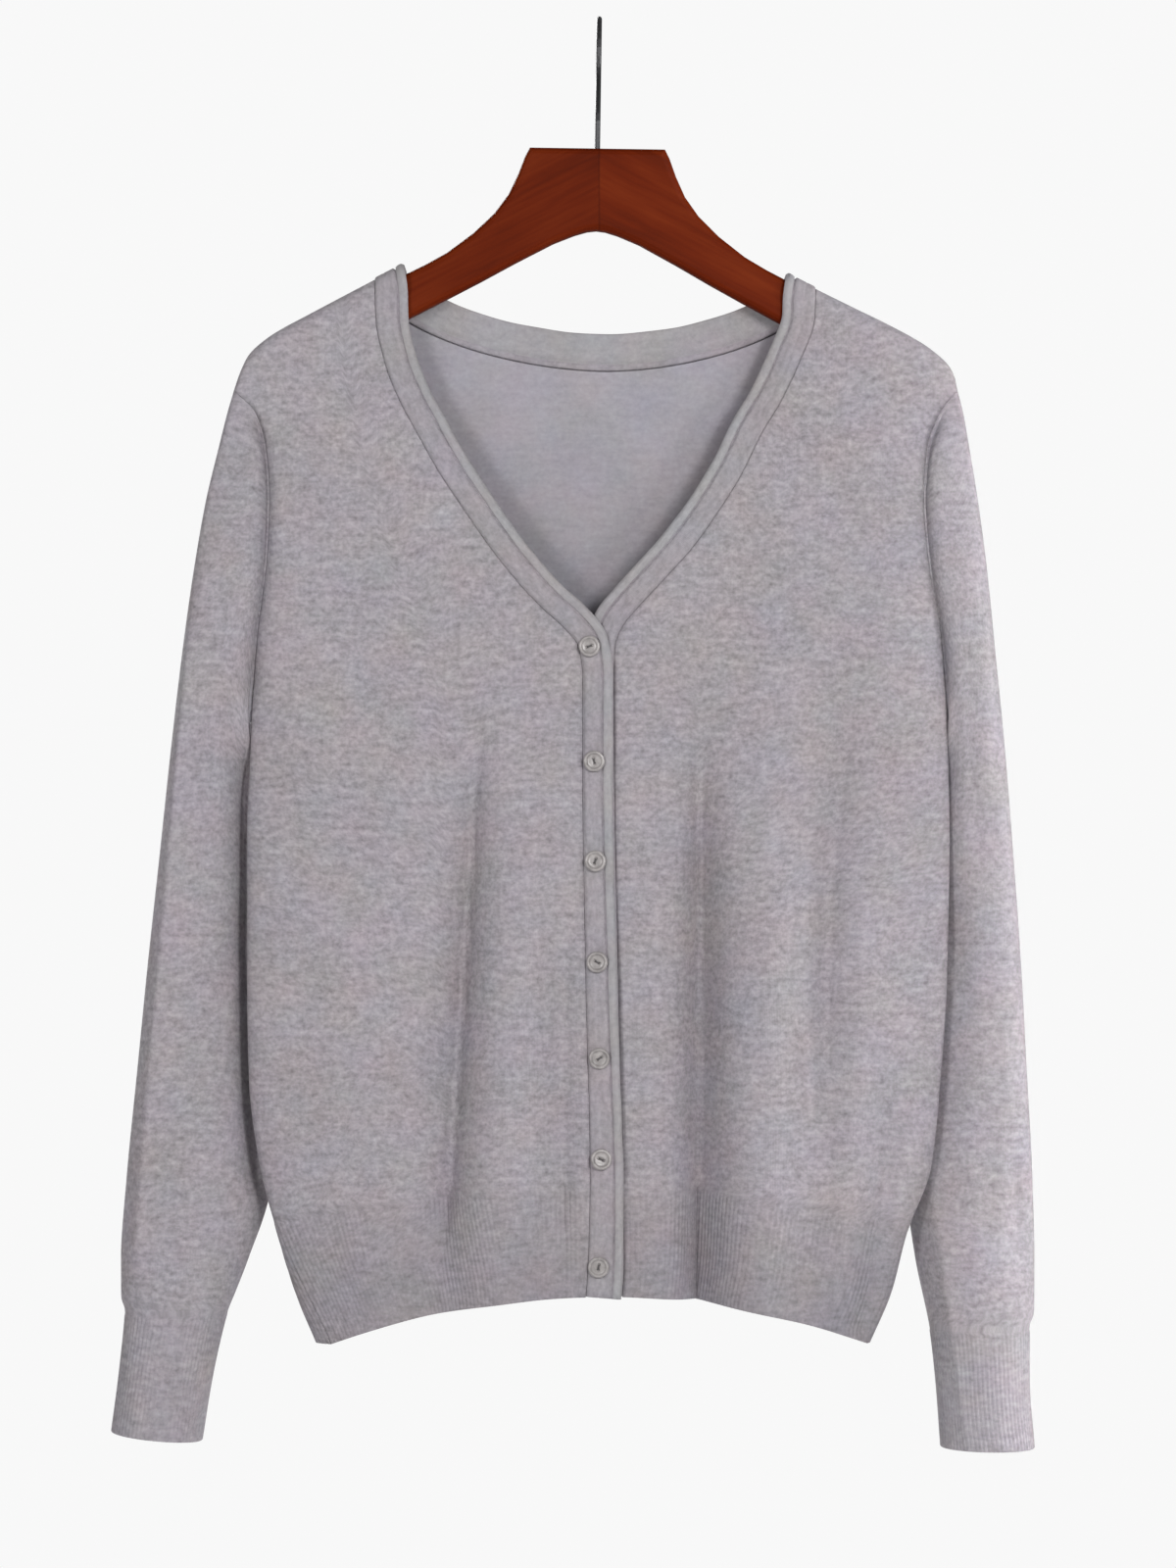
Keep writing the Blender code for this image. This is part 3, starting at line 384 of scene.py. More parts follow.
# Looks.
KNIT_GREY = 0.3
KNIT_RED = 1.085  # red and blue against green
KNIT_BLUE = 1.075
KNIT_HUE_DRIFT = 0.038
HUE_SCALES = (41.0, 33.0)  # of the noises that shift red and blue
PAINTED_HEM_SHADE = (-0.635, -0.69, 0.86)  # painted shade: from this height to that one the colour of the hem's ribs darkens to this share
KNIT_SHADER = {
    "roughness": 0.92,
    "Sheen_Weight": 0.1,
    "Sheen_Roughness": 0.45,
    "Specular_IOR_Level": 0.18,
}
MOTTLE_SCALE = 30.0
MOTTLE = 0.04  # the tone goes up and down by this share
NOISE_SPAN = (0.3, 0.7)  # most of a noise's values lie in it
STITCH_LEAN = 2.4  # how steep the V of a stitch is, in radians
STITCH_BUMP = {"Strength": 0.35, "Distance": 0.00018}
STREAKS = [(4.2, 3.2, 1.0), (13.0, 3.4, 0.7), (1.9, 1.9, 0.7)]  # length, height, share of the contrast
JOINT_X = 0  # glue line of the hanger's two halves
JOINT_LINE = (0.0002, 0.0008)  # it fades out between these distances, in metres
JOINT_SHADE = 0.75
GRAIN_TURN = 27  # slope of an arm in degrees, which its grain follows
GRAIN_SHIFT = 0.6  # the second half's grain is read this far away, so that it differs
GRAIN_BROAD = (9, 20, 36)  # scales along X, Y and Z
GRAIN_FINE = (22, 200, 420)
GRAIN_FINENESS = 0.28
WOOD_DARK = (0.066, 0.0063, 0.0006)
WOOD_MIDDLE = (0.113, 0.0118, 0.001)
WOOD_LIGHT = (0.155, 0.021, 0.003)
BACKDROP = (0.94, 0.94, 0.94)
AMBIENT_TINT = (0.98, 0.985, 1.0)
AMBIENT = 0.16
LENS = 125
CAMERA_PLACE = (-0.0062, -3.0, -0.41985)
FLOOR_Z = -1.5
FLOOR_RADIUS = 2.2
LIGHTS = table(
    "name place aim size power spread",
    ("key", (0.87, -2.15, 0.2), (0, 0, -0.42), (0.5, 0.7), 31, 180),
    ("right", (1.67, -1.67, 0), (0, 0, -0.42), (0.5, 0.7), 7, 180),
    ("left", (-1.17, -2.03, 0.08), (0, 0, -0.42), (0.5, 0.7), 19, 180),
    ("left_side", (-2.35, -0.42, -0.21), (0, 0, -0.42), (0.5, 0.7), 6, 180),
    ("right_side", (2.38, 0.21, -0.21), (0, 0, -0.42), (0.5, 0.7), 40, 180),
    ("strip", (0.6, -1.0, -0.5), (0.24, 0, -0.5), (0.06, 0.9), 0.12, 10),
    ("rear", (-0.9, 2.3, 0.2), (0, 0, -0.42), (1.2, 1.4), 44, 180),
)

# Soft creases beyond the main folds. Each runs from (x0, z0) to (x1, z1), stands out by its height at its
# crest, and has a width on its -X and its +X side. Its ends fade over a share of its length.
CREASE_POWER = 1.25  # 2 would round its bottom more
CREASE = "x0 z0 x1 z1 height minus plus fade_in fade_out bow"
FRONT_CREASES = table(
    CREASE,
    (-64, -340, -86, -700, -20, 11, 8, 0.4, 0.2, 1),
    (56, -335, 53, -724, -24, 8, 14, 0.4, 0.05, 0),
    (158, -285, 128, -640, -10, 9, 10, 0.35, 0.25, -15),
    (168, -560, 143, -725, -12, 9, 7, 0.35, 0.05, 0),
    (-21, -470, -18, -700, -6, 8, 6, 0.3, 0.3, 0),
    (-112, -232, -92, -252, -2, 6, 6, 0.4, 0.4, 0),
    (-140, -560, -146, -715, -2.5, 11, 10, 0.4, 0.2, 0),
)
BACK_CREASES = table(
    CREASE,
    (-52, -370, -62, -700, -5, 12, 8, 0.3, 0.25, 1),
    (24, -380, 34, -715, -5.5, 8, 13, 0.3, 0.15, -2),
    (92, -330, 86, -690, -4, 9, 12, 0.35, 0.2, 2),
    (-122, -300, -128, -690, -4, 12, 9, 0.35, 0.2, -2),
    (-150, -560, -140, -715, -3, 9, 9, 0.4, 0.1, 0),
    (150, -560, 138, -715, -3, 9, 9, 0.4, 0.1, 0),
)
SLEEVE_CREASES = {
    -1: table(
        CREASE,
        (-195, -390, -188, -655, -11, 6, 5, 0.15, 0.1, -4),
        (-221, -290, -256, -700, 5.5, 3.2, 9, 0.15, 0.1, 0),
        (-212, -330, -222, -520, -2.5, 9, 8, 0.3, 0.4, 2),
        (-231, -470, -238, -690, -3, 9, 8, 0.35, 0.3, -2),
        (-190, -470, -214, -560, -2.5, 9, 7, 0.4, 0.5, 0),
        (-244, -600, -222, -650, -2, 8, 8, 0.4, 0.4, 0),
    ),
    1: table(
        CREASE,
        (178, -600, 202, -783, 2, 3, 3, 0.2, 0.05, 0),
        (203, -330, 211, -490, -2.5, 8, 9, 0.3, 0.4, -2),
        (226, -600, 231, -712, -3.5, 8, 6, 0.35, 0.3, 0),
        (186, -470, 206, -560, -2.5, 7, 9, 0.4, 0.5, 0),
        (208, -560, 214, -690, -2, 9, 9, 0.4, 0.4, 2),
    ),
}


def mix(a, b, share):
    """The value `share` of the way from a to b."""
    return a + (b - a) * share


def ease(share):
    """0 to 1 with a soft start and end, for a share that may lie outside 0 to 1."""
    share = np.clip(share, 0, 1)
    return share * share * (3 - 2 * share)


def signed_power(value, power):
    return np.sign(value) * np.abs(value) ** power


def unit(vectors):
    return vectors / np.linalg.norm(vectors, axis=-1, keepdims=True)


class Curve:
    """A smooth curve through (key, value) pairs that never overshoots them and is constant beyond them."""

    def __init__(self, keys, values):
        keys, values = np.array(keys, float), np.array(values, float)
        if keys[0] > keys[-1]:
            keys, values = keys[::-1], values[::-1]
        secants = np.diff(values) / np.diff(keys)
        product, total = secants[:-1] * secants[1:], secants[:-1] + secants[1:]
        inner = np.where(product > 0, 2 * product / np.where(total == 0, 1, total), 0)
        self.keys, self.values = keys, values
        self.slopes = np.concatenate([secants[:1], inner, secants[-1:]])

    def __call__(self, at):
        at = np.clip(at, self.keys[0], self.keys[-1])
        i = np.clip(np.searchsorted(self.keys, at, side="right") - 1, 0, len(self.keys) - 2)
        run = self.keys[i + 1] - self.keys[i]
        share = (at - self.keys[i]) / run
        square, cube = share**2, share**3
        return (
            (2 * cube - 3 * square + 1) * self.values[i]
            + (cube - 2 * square + share) * run * self.slopes[i]
            + (3 * square - 2 * cube) * self.values[i + 1]
            + (cube - square) * run * self.slopes[i + 1]
        )


def columns_of(rows, key=None):
    """A table's columns as curves over one of them, or over the row number."""
    keys = [getattr(row, key) for row in rows] if key else range(len(rows))
    names = [name for name in rows[0]._fields if name != key]
    return {name: Curve(keys, [getattr(row, name) for row in rows]) for name in names}


LEVEL = columns_of(BODY_LEVELS, "z")
RIDGE_Z = columns_of(SHOULDER_RIDGE, "x")["z"]
ARMHOLE_X = columns_of(ARMHOLE, "z")
BAND_SEAM_X = columns_of(BAND_SEAM, "z")
BAND_WIDTH = columns_of(BAND_WIDTHS, "z")
ROW_SHARE = columns_of(BODY_ROWS)
RING = {side: columns_of(SLEEVE_RINGS[side]) for side in (-1, 1)}
LAST_ROW = len(BODY_ROWS) - 1
RIB_ROW = LAST_ROW - 1


def side_name(side):
    return "left" if side < 0 else "right"


def level(z):
    """The body's middle and half width at a height."""
    left, right = LEVEL["left"](z), LEVEL["right"](z)
    return (left + right) / 2, (right - left) / 2


def back_top_z(x):
    """The top edge of the back: the two shoulders and the curved neckline between them."""
    neck = np.where(x < BACK_NECK_X, NECK_X[-1], NECK_X[1])
    share = np.clip((x - BACK_NECK_X) / (neck - BACK_NECK_X), 0, 1)
    neckline = mix(RIDGE_Z(neck), BACK_NECK_Z, (1 - share**BACK_NECK_POWER) ** BACK_NECK_ROUNDING)
    return np.where((x > NECK_X[-1]) & (x < NECK_X[1]), neckline, RIDGE_Z(x))


def hem_z(x):
    return HEM_Z - HEM_DROP * np.minimum(1.0, np.abs(x) / HEM_HALF_WIDTH) ** HEM_POWER


CORNER_Z = hem_z(HEM_HALF_WIDTH)


def folds(lines, x, z):
    """How far the main folds stand out at a place."""
    total = 0.0
    for fold in lines:
        share = (z - fold.top_z) / (fold.low_z - fold.top_z)
        distance = (x - mix(fold.top_x, fold.low_x, share)) / fold.width
        total = total + fold.height * ease(share / FOLD_RUN_IN) * np.exp(-distance * distance)
    return total


def crease_section(aside):
    return np.exp(-np.abs(aside) ** CREASE_POWER)


def creases(lines, x, z):
    """How far the soft creases stand out at a place."""
    total = np.zeros(np.broadcast(x, z).shape)
    for line in lines:
        run_x, run_z = line.x1 - line.x0, line.z1 - line.z0
        length = math.hypot(run_x, run_z)
        along = ((x - line.x0) * run_x + (z - line.z0) * run_z) / length**2
        aside = ((z - line.z0) * run_x - (x - line.x0) * run_z) / length
        aside = aside - line.bow * 4 * along * (1 - along)
        fade = ease(along / line.fade_in) * ease((1 - along) / line.fade_out)
        width = np.where(aside < 0, line.minus, line.plus)
        total += line.height * fade * crease_section(aside / width)
    return total


def valley(x, z):
    """How far the cloth dips along the armhole seams."""
    total = 0.0
    for side in (-1, 1):
        outward = side * (x - ARMHOLE_X[side_name(side)](z)) - VALLEY_OUT
        total = total - VALLEY_DEPTH * crease_section(outward / VALLEY_WIDTH)
    top = ease((SHOULDER_Z - VALLEY_TOP[0] - z) / VALLEY_TOP[1])
    return total * top * ease((z - UNDERARM_Z - VALLEY_END[0]) / VALLEY_END[1])


def lap(side, x, z):
    """Side -1 lies in front of side 1 where the bands cross, and each eases back to the common surface."""
    near = np.exp(-(((x - LAP_X) / LAP_REACH) ** 2))
    return side * LAP / 2 * near * ease((LAP_START_Z - z) / LAP_FADE)


def body_x(angle, z):
    middle, half = level(z)
    return middle - half * across(angle)


def body_point(angle, z, facing, side=0):
    """Points of the body's middle surface. The angle runs from the side at -X, 0, to that at +X, pi.

    Facing is -1 for the front and 1 for the back, and an angle beyond a side edge goes round it.
    """
    angle, z = np.broadcast_arrays(np.asarray(angle, float), np.asarray(z, float))
    facing = np.where((angle < 0) | (angle > math.pi), -facing, facing)
    x = body_x(angle, z)
    around = np.abs(np.sin(angle)) ** (2 / SECTION_POWER)
    tip = LEVEL["tip"](z)
    depth = np.where(facing < 0, LEVEL["front"](z) + tip, LEVEL["back"](z) - tip)
    below = np.maximum(0.0, RIDGE_Z(x) - z)
    turn = 1 - np.minimum(1.0, below / RIDGE_DROP)
    over = SEAM_GAP / 2 + RIDGE_HALF * (1 - turn**RIDGE_POWER) ** (1 / RIDGE_POWER)
    y = mix(facing * over, tip + facing * depth * around, ease(below / FALL))
    front_shape = folds(FRONT_FOLDS, x, z) + creases(FRONT_CREASES, x, z)
    back_shape = folds(BACK_FOLDS, x, z) + creases(BACK_CREASES, x, z)
    y = y + facing * np.where(facing < 0, front_shape, back_shape) * around
    y = y + facing * valley(x, z)
    return np.stack([x, y + (lap(side, x, z) if side else 0.0), z], -1)


def body_normal(angle, z, facing, side=0):
    """Outward normals of the body's middle surface."""
    step = 0.02
    x = body_x(angle, z)
    turn = step / HEM_HALF_WIDTH
    around = body_point(angle + turn, z, facing, side) - body_point(angle - turn, z, facing, side)
    down = body_point(angle, z - step, facing, side) - body_point(angle, z + step, facing, side)
    rise = RIDGE_Z(x + step) - RIDGE_Z(x - step)
    top = np.stack([-rise, 0 * rise, 2 * step + 0 * rise], -1)
    at_ridge = (RIDGE_Z(x) - z < 2 * step)[..., None]
    return unit(np.where(at_ridge, top, np.cross(around, down) * facing))


def angle_at(x, z):
    """The angle at which the body's section has a given x."""
    middle, half = level(z)
    return angle_across((middle - x) / half)


def side_angle(side, z, facing):
    """The angle of a panel's outer edge: the armhole, and below it the side seam."""
    armhole = angle_at(ARMHOLE_X[side_name(side)](z), z)
    armhole = np.maximum(SIDE_CLEAR, armhole) if side < 0 else np.minimum(math.pi - SIDE_CLEAR, armhole)
    wraps = SIDE_SEAM_TURN if side < 0 else 0
    turned = SIDE_CLEAR - facing * wraps * ease((SEAM_TURN_Z - z) / (SEAM_TURN_Z - CORNER_Z))
    return np.where(z > UNDERARM_Z, armhole, turned if side < 0 else math.pi - turned)


def across(angle):
    """How far out a place is, 1 at the side at -X and -1 at that at +X, from its angle."""
    return signed_power(np.cos(angle), 2 / SECTION_POWER)


def angle_across(share):
    """The reverse of `across`."""
    return np.arccos(signed_power(np.clip(share, -1, 1), SECTION_POWER / 2))


def row_height(row, outward, middle_top, top, hem):
    """The height of a column at a row. The column starts at `top` and ends at `hem`.

    Away from those edges the rows lie level: `outward` is 0 at the panel's middle and 1 at its side.
    """
    side_share, middle_share = ROW_SHARE["side"](row), ROW_SHARE["middle"](row)
    level_z = mix(mix(middle_top, HEM_Z, middle_share), mix(SHOULDER_Z, CORNER_Z, side_share), outward)
    level_top = mix(middle_top, SHOULDER_Z, outward)
    level_hem = mix(HEM_Z, CORNER_Z, outward)
    return (
        level_z
        + (top - level_top) * (1 - middle_share) ** ROW_LEVELLING
        + (hem - level_hem) * middle_share**ROW_LEVELLING
    )


def column_angle(tip, outer, inner, share, row):
    """The angle of a column that lies `share` of the way from the panel's outer edge to an inner one."""
    inner_across, base = across(inner), across(mix(tip, inner, share))
    inward = (across(tip) - base) / (across(tip) - inner_across)
    inward = mix(share, inward, ease(row / UNDERARM_ROW))
    upper = angle_across(mix(across(outer), inner_across, inward))
    return np.where(row >= UNDERARM_ROW, mix(outer, inner, share), upper)


def front(side):
    """The surface of a front at u, from the side to the band's seam, and a row: points and normals."""
    seam_top_z = RIDGE_Z(NECK_X[side])

    def angle(u, row):
        outer_z = row_height(row, 1, seam_top_z, SHOULDER_Z, CORNER_Z)
        inner_z = row_height(row, 0, seam_top_z, seam_top_z, HEM_Z)
        inner = angle_at(BAND_SEAM_X[side_name(side)](inner_z), inner_z)
        share = u + FRONT_SPREAD * np.sin(math.pi * u)
        return column_angle(0 if side < 0 else math.pi, side_angle(side, outer_z, -1), inner, share, row)

    def surface(u, row):
        u, row = np.broadcast_arrays(np.asarray(u, float), np.asarray(row, float))
        top, hem = 0 * row, 0 * row + LAST_ROW
        top_x = body_x(angle(u, top), SHOULDER_Z)
        hem_x = body_x(angle(u, hem), CORNER_Z)
        z = row_height(row, (1 - u) ** ROW_BOW, seam_top_z, RIDGE_Z(top_x), hem_z(hem_x))
        here = angle(u, row)
        return body_point(here, z, -1, side), body_normal(here, z, -1, side)

    return surface


def back(u, row):
    """The surface of the back, whose u runs from the side at -X to that at +X: points and normals."""
    u, row = np.broadcast_arrays(np.asarray(u, float), np.asarray(row, float))
    middle, half = level(SHOULDER_Z)
    base = math.pi * (u + BACK_SPREAD * np.sin(2 * math.pi * u))
    left = u < 0.5
    neck = np.where(left, *(angle_across((middle - NECK_X[side]) / half) for side in (-1, 1)))
    tip = np.where(left, 0, math.pi)
    share = (base - tip) / (neck - tip)

    def angle(at_row):
        outer_z = row_height(at_row, 1, BACK_NECK_Z, SHOULDER_Z, CORNER_Z)
        outer = np.where(left, side_angle(-1, outer_z, 1), side_angle(1, outer_z, 1))
        shoulder = column_angle(tip, outer, neck, np.minimum(share, 1), at_row)
        upper = np.where(share > 1, base, shoulder)
        lower = mix(outer, math.pi / 2, (base - tip) / (math.pi / 2 - tip))
        return np.where(at_row >= UNDERARM_ROW, lower, upper)

    top_x = body_x(angle(0 * row), SHOULDER_Z)
    hem_x = body_x(angle(0 * row + LAST_ROW), CORNER_Z)
    outward = np.abs(1 - 2 * u) ** ROW_BOW
    z = row_height(row, outward, BACK_NECK_Z, back_top_z(top_x), hem_z(hem_x))
    here = angle(row)
    return body_point(here, z, 1), body_normal(here, z, 1)


def armhole_edge(side, turn):
    """The sleeve's edge, a seam's width from the body's, and the normals there.

    The turn goes from the shoulder down the front and up the back. The edge has the body's normals, but at
    the underarm the cloth folds over and faces down.
    """
    down = (1 - np.cos(turn)) / 2
    z = mix(SHOULDER_Z, UNDERARM_Z, down)
    points, normals = [], []
    for facing in (-1, 1):
        angle = side_angle(side, z, facing)
        points.append(body_point(angle, z, facing))
        normals.append(body_normal(angle, z, facing))
    forward = (turn < math.pi)[..., None]
    edge, normal = np.where(forward, *points), np.where(forward, *normals)
    away = np.stack([side * np.abs(np.sin(turn)), 0 * turn, -np.cos(turn)], -1)
    step = np.stack([side * UNDERARM_STEP * down**UNDERARM_STEP_POWER, 0 * turn, 0 * turn], -1)
    normal = mix(normal, np.array([0, 0, -1.0]), (down**UNDERARM_FOLD_POWER)[..., None])
    return edge + away * SEAM + step, unit(normal)


def ring_point(side, turn, row):
    """Points of the oval rings of a sleeve at a row number, which may lie between two rings."""
    ring = {name: curve(row) for name, curve in RING[side].items()}
    middle_x, middle_z = (ring["outer_x"] + ring["inner_x"]) / 2, (ring["outer_z"] + ring["inner_z"]) / 2
    power = mix(1, ARMHOLE_ROUNDING, ease(1 - row / ARMHOLE_RINGS))
    cosine = np.cos(turn)
    return np.stack(
        [
            middle_x + (ring["outer_x"] - middle_x) * cosine,
            ring["back"] - ring["depth"] * signed_power(np.sin(turn), power) - ring["lead"] * cosine,
            middle_z + (ring["outer_z"] - middle_z) * cosine,
        ],
        -1,
    )


def sleeve(side):
    """The surface of a sleeve, whose u runs once round from the outer fold over the front."""
    last = len(SLEEVE_RINGS[side]) - 1

    def point(u, row):
        u, row = np.broadcast_arrays(np.asarray(u, float), np.asarray(row, float))
        turn = (u % 1) * 2 * math.pi
        made = ring_point(side, turn, row)
        held = ease(1 - row / ARMHOLE_RINGS)[..., None]
        edge = armhole_edge(side, turn)[0]
        made = made + (edge - ring_point(side, turn, 0 * row)) * held
        x, z = made[..., 0], made[..., 2]
        shape = creases(SLEEVE_CREASES[side], x, z) * ease(2 * np.sin(turn)) * ease(row / 2)
        dip = valley(x, z) - valley(edge[..., 0], edge[..., 2]) * held[..., 0]
        made[..., 1] -= shape + dip * np.sign(np.sin(turn)) * ease(4 * np.abs(np.sin(turn)))
        return made

    def surface(u, row):
        step = 1e-3
        u, row = np.broadcast_arrays(np.asarray(u, float), np.asarray(row, float))
        around = point(u + step, row) - point(u - step, row)
        down = point(u, np.minimum(last, row + step)) - point(u, np.maximum(0, row - step))
        normal = unit(np.cross(around, down)) * side
        edge = armhole_edge(side, (u % 1) * 2 * math.pi)[1]
        return point(u, row), unit(mix(edge, normal, ease(row)[..., None]))

    return surface


class Knit:
    """A mesh made of rows of points, each with its place in the knit: across the wales and along them."""

    def __init__(self):
        self.points, self.places, self.faces, self.looks = [], [], [], []
        self.count = 0

    def add(self, points, places):
        first = self.count
        self.count += points[..., 0].size
        self.points.append(points.reshape(-1, 3))
        self.places.append(places.reshape(-1, 2))
        return np.arange(first, self.count).reshape(points.shape[:-1])

    def grid(self, index, look):
        corners = index[:-1, :-1], index[:-1, 1:], index[1:, 1:], index[1:, :-1]
        self.keep(np.stack(corners, -1).reshape(-1, 4).tolist(), look)

    def keep(self, faces, look):
        self.faces += faces
        self.looks += [look] * len(faces)

    def zip(self, first, second, first_at, second_at, look):
        """Triangles between two rows of different numbers of points, whose places along them are given."""
        faces, i, j = [], 0, 0
        while i < len(first) - 1 or j < len(second) - 1:
            if j == len(second) - 1 or (i < len(first) - 1 and first_at[i + 1] <= second_at[j + 1]):
                faces.append((first[i], first[i + 1], second[j]))
                i += 1
            else:
                faces.append((first[i], second[j + 1], second[j]))
                j += 1
        self.keep(faces, look)

    def finished(self, name, looks):
        """Makes the object. Points that coincide are joined, so that a tube is closed."""
        data = bpy.data.meshes.new(name)
        data.from_pydata((np.concatenate(self.points) * MM).tolist(), [], self.faces)
        data.polygons.foreach_set("material_index", self.looks)
        corners = np.empty(len(data.loops), int)
        data.loops.foreach_get("vertex_index", corners)
        places = data.uv_layers.new(name="knit")
        places.data.foreach_set("uv", np.concatenate(self.places)[corners].ravel())
        work = bmesh.new()
        work.from_mesh(data)
        bmesh.ops.remove_doubles(work, verts=work.verts, dist=1e-6)
        bmesh.ops.recalc_face_normals(work, faces=work.faces)
        work.to_mesh(data)
        work.free()
        data.shade_smooth()
        for look in looks:
            data.materials.append(look)
        return placed(name, data)


def placed(name, data, place=(0, 0, 0)):
    """A new object in the scene."""
    thing = bpy.data.objects.new(name, data)
    thing.location = place
    bpy.context.scene.collection.objects.link(thing)
    return thing


def distances(points, axis):
    """The running distance along an axis of a grid of points."""
    steps = np.linalg.norm(np.diff(points, axis=axis), axis=-1)
    start = np.zeros_like(np.take(steps, [0], axis))
    return np.concatenate([start, np.cumsum(steps, axis)], axis)


def even_columns(surface, row, count, start=0.0):
    """Values of u that divide a row into equal lengths."""
    samples = start + np.linspace(0, 1, 800)
    run = distances(surface(samples, row)[0], 0)
    return np.interp(np.linspace(0, run[-1], count + 1), run, samples)


def plain_rows(surface, last, start=0.0):
    """Row numbers a step apart down to the row where the ribs start."""
    rows, samples = [], start + np.linspace(0, 1, 9)
    for row in range(last):
        fine = surface(samples[None], np.linspace(row, row + 1, 5)[:, None])[0]
        length = distances(fine, 0)[-1].max()
        count = math.ceil(length / (FINE_STEP if row < FINE_ROWS else STEP))
        rows += list(row + np.arange(count) / count)
    return np.array(rows)


def rib_rows(surface, first, last):
    """Row numbers of the ribs: close together where they grow out of the plain knit."""
    length = distances(surface(0.25, np.linspace(first, last, 20))[0], 0)[-1]
    run_in = np.arange(RIB_RUN_IN_ROWS) / RIB_RUN_IN_ROWS * RIB_RUN_IN
    on = np.linspace(RIB_RUN_IN, length, math.ceil((length - RIB_RUN_IN) / RIB_ROW_STEP) + 1)
    return first + np.concatenate([run_in, on]) / length * (last - first)


def offset(surface, columns, row, distance):
    points, normals = surface(columns, row)
    return points + normals * (distance[..., None] if np.ndim(distance) else distance)


def edge_round(outer, inner, onward):
    """Two rows that round off an open edge between the two skins."""
    return [mix(outer, inner, share) + onward * HEM_ROLL for share in (0.25, 0.75)]


def knit_wall(name, surface, columns, places_of, rib_row, last, ribs, looks, start=0.0, allowance=False):
    """A thin shell of plain knit that turns into ribs at rib_row and ends in an open edge at the last row.

    An allowance adds the strip of cloth inside the body that a sleeve's seam leaves there.
    """
    knit = Knit()
    rows, lower = plain_rows(surface, rib_row, start), rib_rows(surface, rib_row, last)
    phase = np.arange(ribs * RIB_COLUMNS + 1) / RIB_COLUMNS * math.pi
    rib_columns = [even_columns(surface, row, len(phase) - 1, start) for row in lower]
    skins, places = [], None
    for sign, look in ((1, 0), (-1, 1)):
        plain = offset(surface, columns[None], rows[:, None], sign * CLOTH / 2)
        wave = (np.sin(phase) if sign > 0 else np.cos(phase)) ** 2
        ribbed = []
        for row, places_across in zip(lower, rib_columns):
            grown = ease((row - rib_row) / (lower[RIB_RUN_IN_ROWS] - rib_row))
            height = CLOTH / 2 + RIB_HEIGHT * grown * wave**RIB_BLUNTNESS
            ribbed.append(offset(surface, places_across, row, sign * height))
        ribbed = np.stack(ribbed)
        if places is None:
            places = places_of(plain, ribbed)
        upper, below = knit.add(plain, places[0]), knit.add(ribbed, places[1])
        skins.append((ribbed, upper, below))
        knit.grid(upper, look)
        knit.grid(below, 2 if sign > 0 else look)
        knit.zip(upper[-1], below[0], columns, rib_columns[0], look)
    (ribbed, first, second), (inside, third, fourth) = skins
    onward = unit(ribbed[-1] - ribbed[-2])
    rim = [ribbed[-1]] + edge_round(ribbed[-1], inside[-1], onward) + [inside[-1]]
    knit.grid(knit.add(np.stack(rim), np.stack([places[1][-1]] * 4)), 2)
    knit.grid(np.stack([first[0], third[0]]), 0)
    if allowance:
        edge, normal = surface(columns, 0)
        inward = unit(edge - surface(columns, EDGE_STEP)[0])
        strip = [edge + inward * far - normal * (CLOTH / 2 + low) for far, low in ALLOWANCE]
        knit.grid(knit.add(np.stack(strip), np.stack([places[0][0]] * len(strip))), 1)
    if not np.allclose(surface(columns[0], rib_row)[0], surface(columns[-1], rib_row)[0]):
        for outer, inner in ((first, third), (second, fourth)):
            for edge in (0, -1):
                knit.grid(np.stack([outer[:, edge], inner[:, edge]]), 0)
        for edge in (0, -1):
            knit.grid(np.array([[first[-1, edge], third[-1, edge]], [second[0, edge], fourth[0, edge]]]), 0)
    return knit.finished(name, looks)


def body_places(centre):
    """Places in the knit of a body panel: u level round the body from its centre line, v up from the hem."""

    def places_of(plain, ribbed):
        found = []
        for points in (plain, ribbed):
            level_run = distances(points * (1, 1, 0), 1)
            x = points[..., 0]
            if centre:
                at_centre = np.array([np.interp(0, row_x, run) for row_x, run in zip(x, level_run)])
                u = level_run - at_centre[:, None]
            else:
                u = x[:, -1:] - np.sign(x[:, -1:] - x[:, :1]) * (level_run[:, -1:] - level_run)
            found.append(np.stack([u, points[..., 2]], -1))
        rise = distances(plain[::-1] * (0, 1, 1), 0)[::-1]
        found[0][..., 1] = plain[-1, :, 2] + rise
        return found

    return places_of


def sleeve_places(plain, ribbed):
    """Places in the knit of a sleeve: u round it from its outer fold, v up from the cuff's edge."""
    found = []
    base = 0
    for points in (ribbed, plain):
        around = distances(points * (1, 1, SLEEVE_SLANT), 1)
        middle = points.shape[1] // 2
        rise = distances(points[::-1], 0)[::-1] + base
        base = rise[0].mean()
        found.append(np.stack([around - around[:, middle : middle + 1], rise], -1))
    return found[::-1]


def band_stations():
    """Points of the band's seam and the outward normals there, from one hem over the neck to the other."""
    points, normals = [], []
    for side in (-1, 1):
        surface = front(side)
        rows = np.concatenate([plain_rows(surface, RIB_ROW), rib_rows(surface, RIB_ROW, LAST_ROW)])
        found = surface(1.0, rows)
        points.append(found[0])
        normals.append(found[1])
    samples = np.linspace(0, 1, 2000)
    top_x = back(samples, 0)[0][:, 0]
    ends = np.interp([NECK_X[-1], NECK_X[1]], top_x, samples)
    found = back(np.linspace(*ends, NECK_STATIONS)[1:-1], 0)
    points = np.concatenate([points[0][::-1], found[0], points[1]])
    normals = np.concatenate([normals[0][::-1], found[1], normals[1]])
    return points, normals


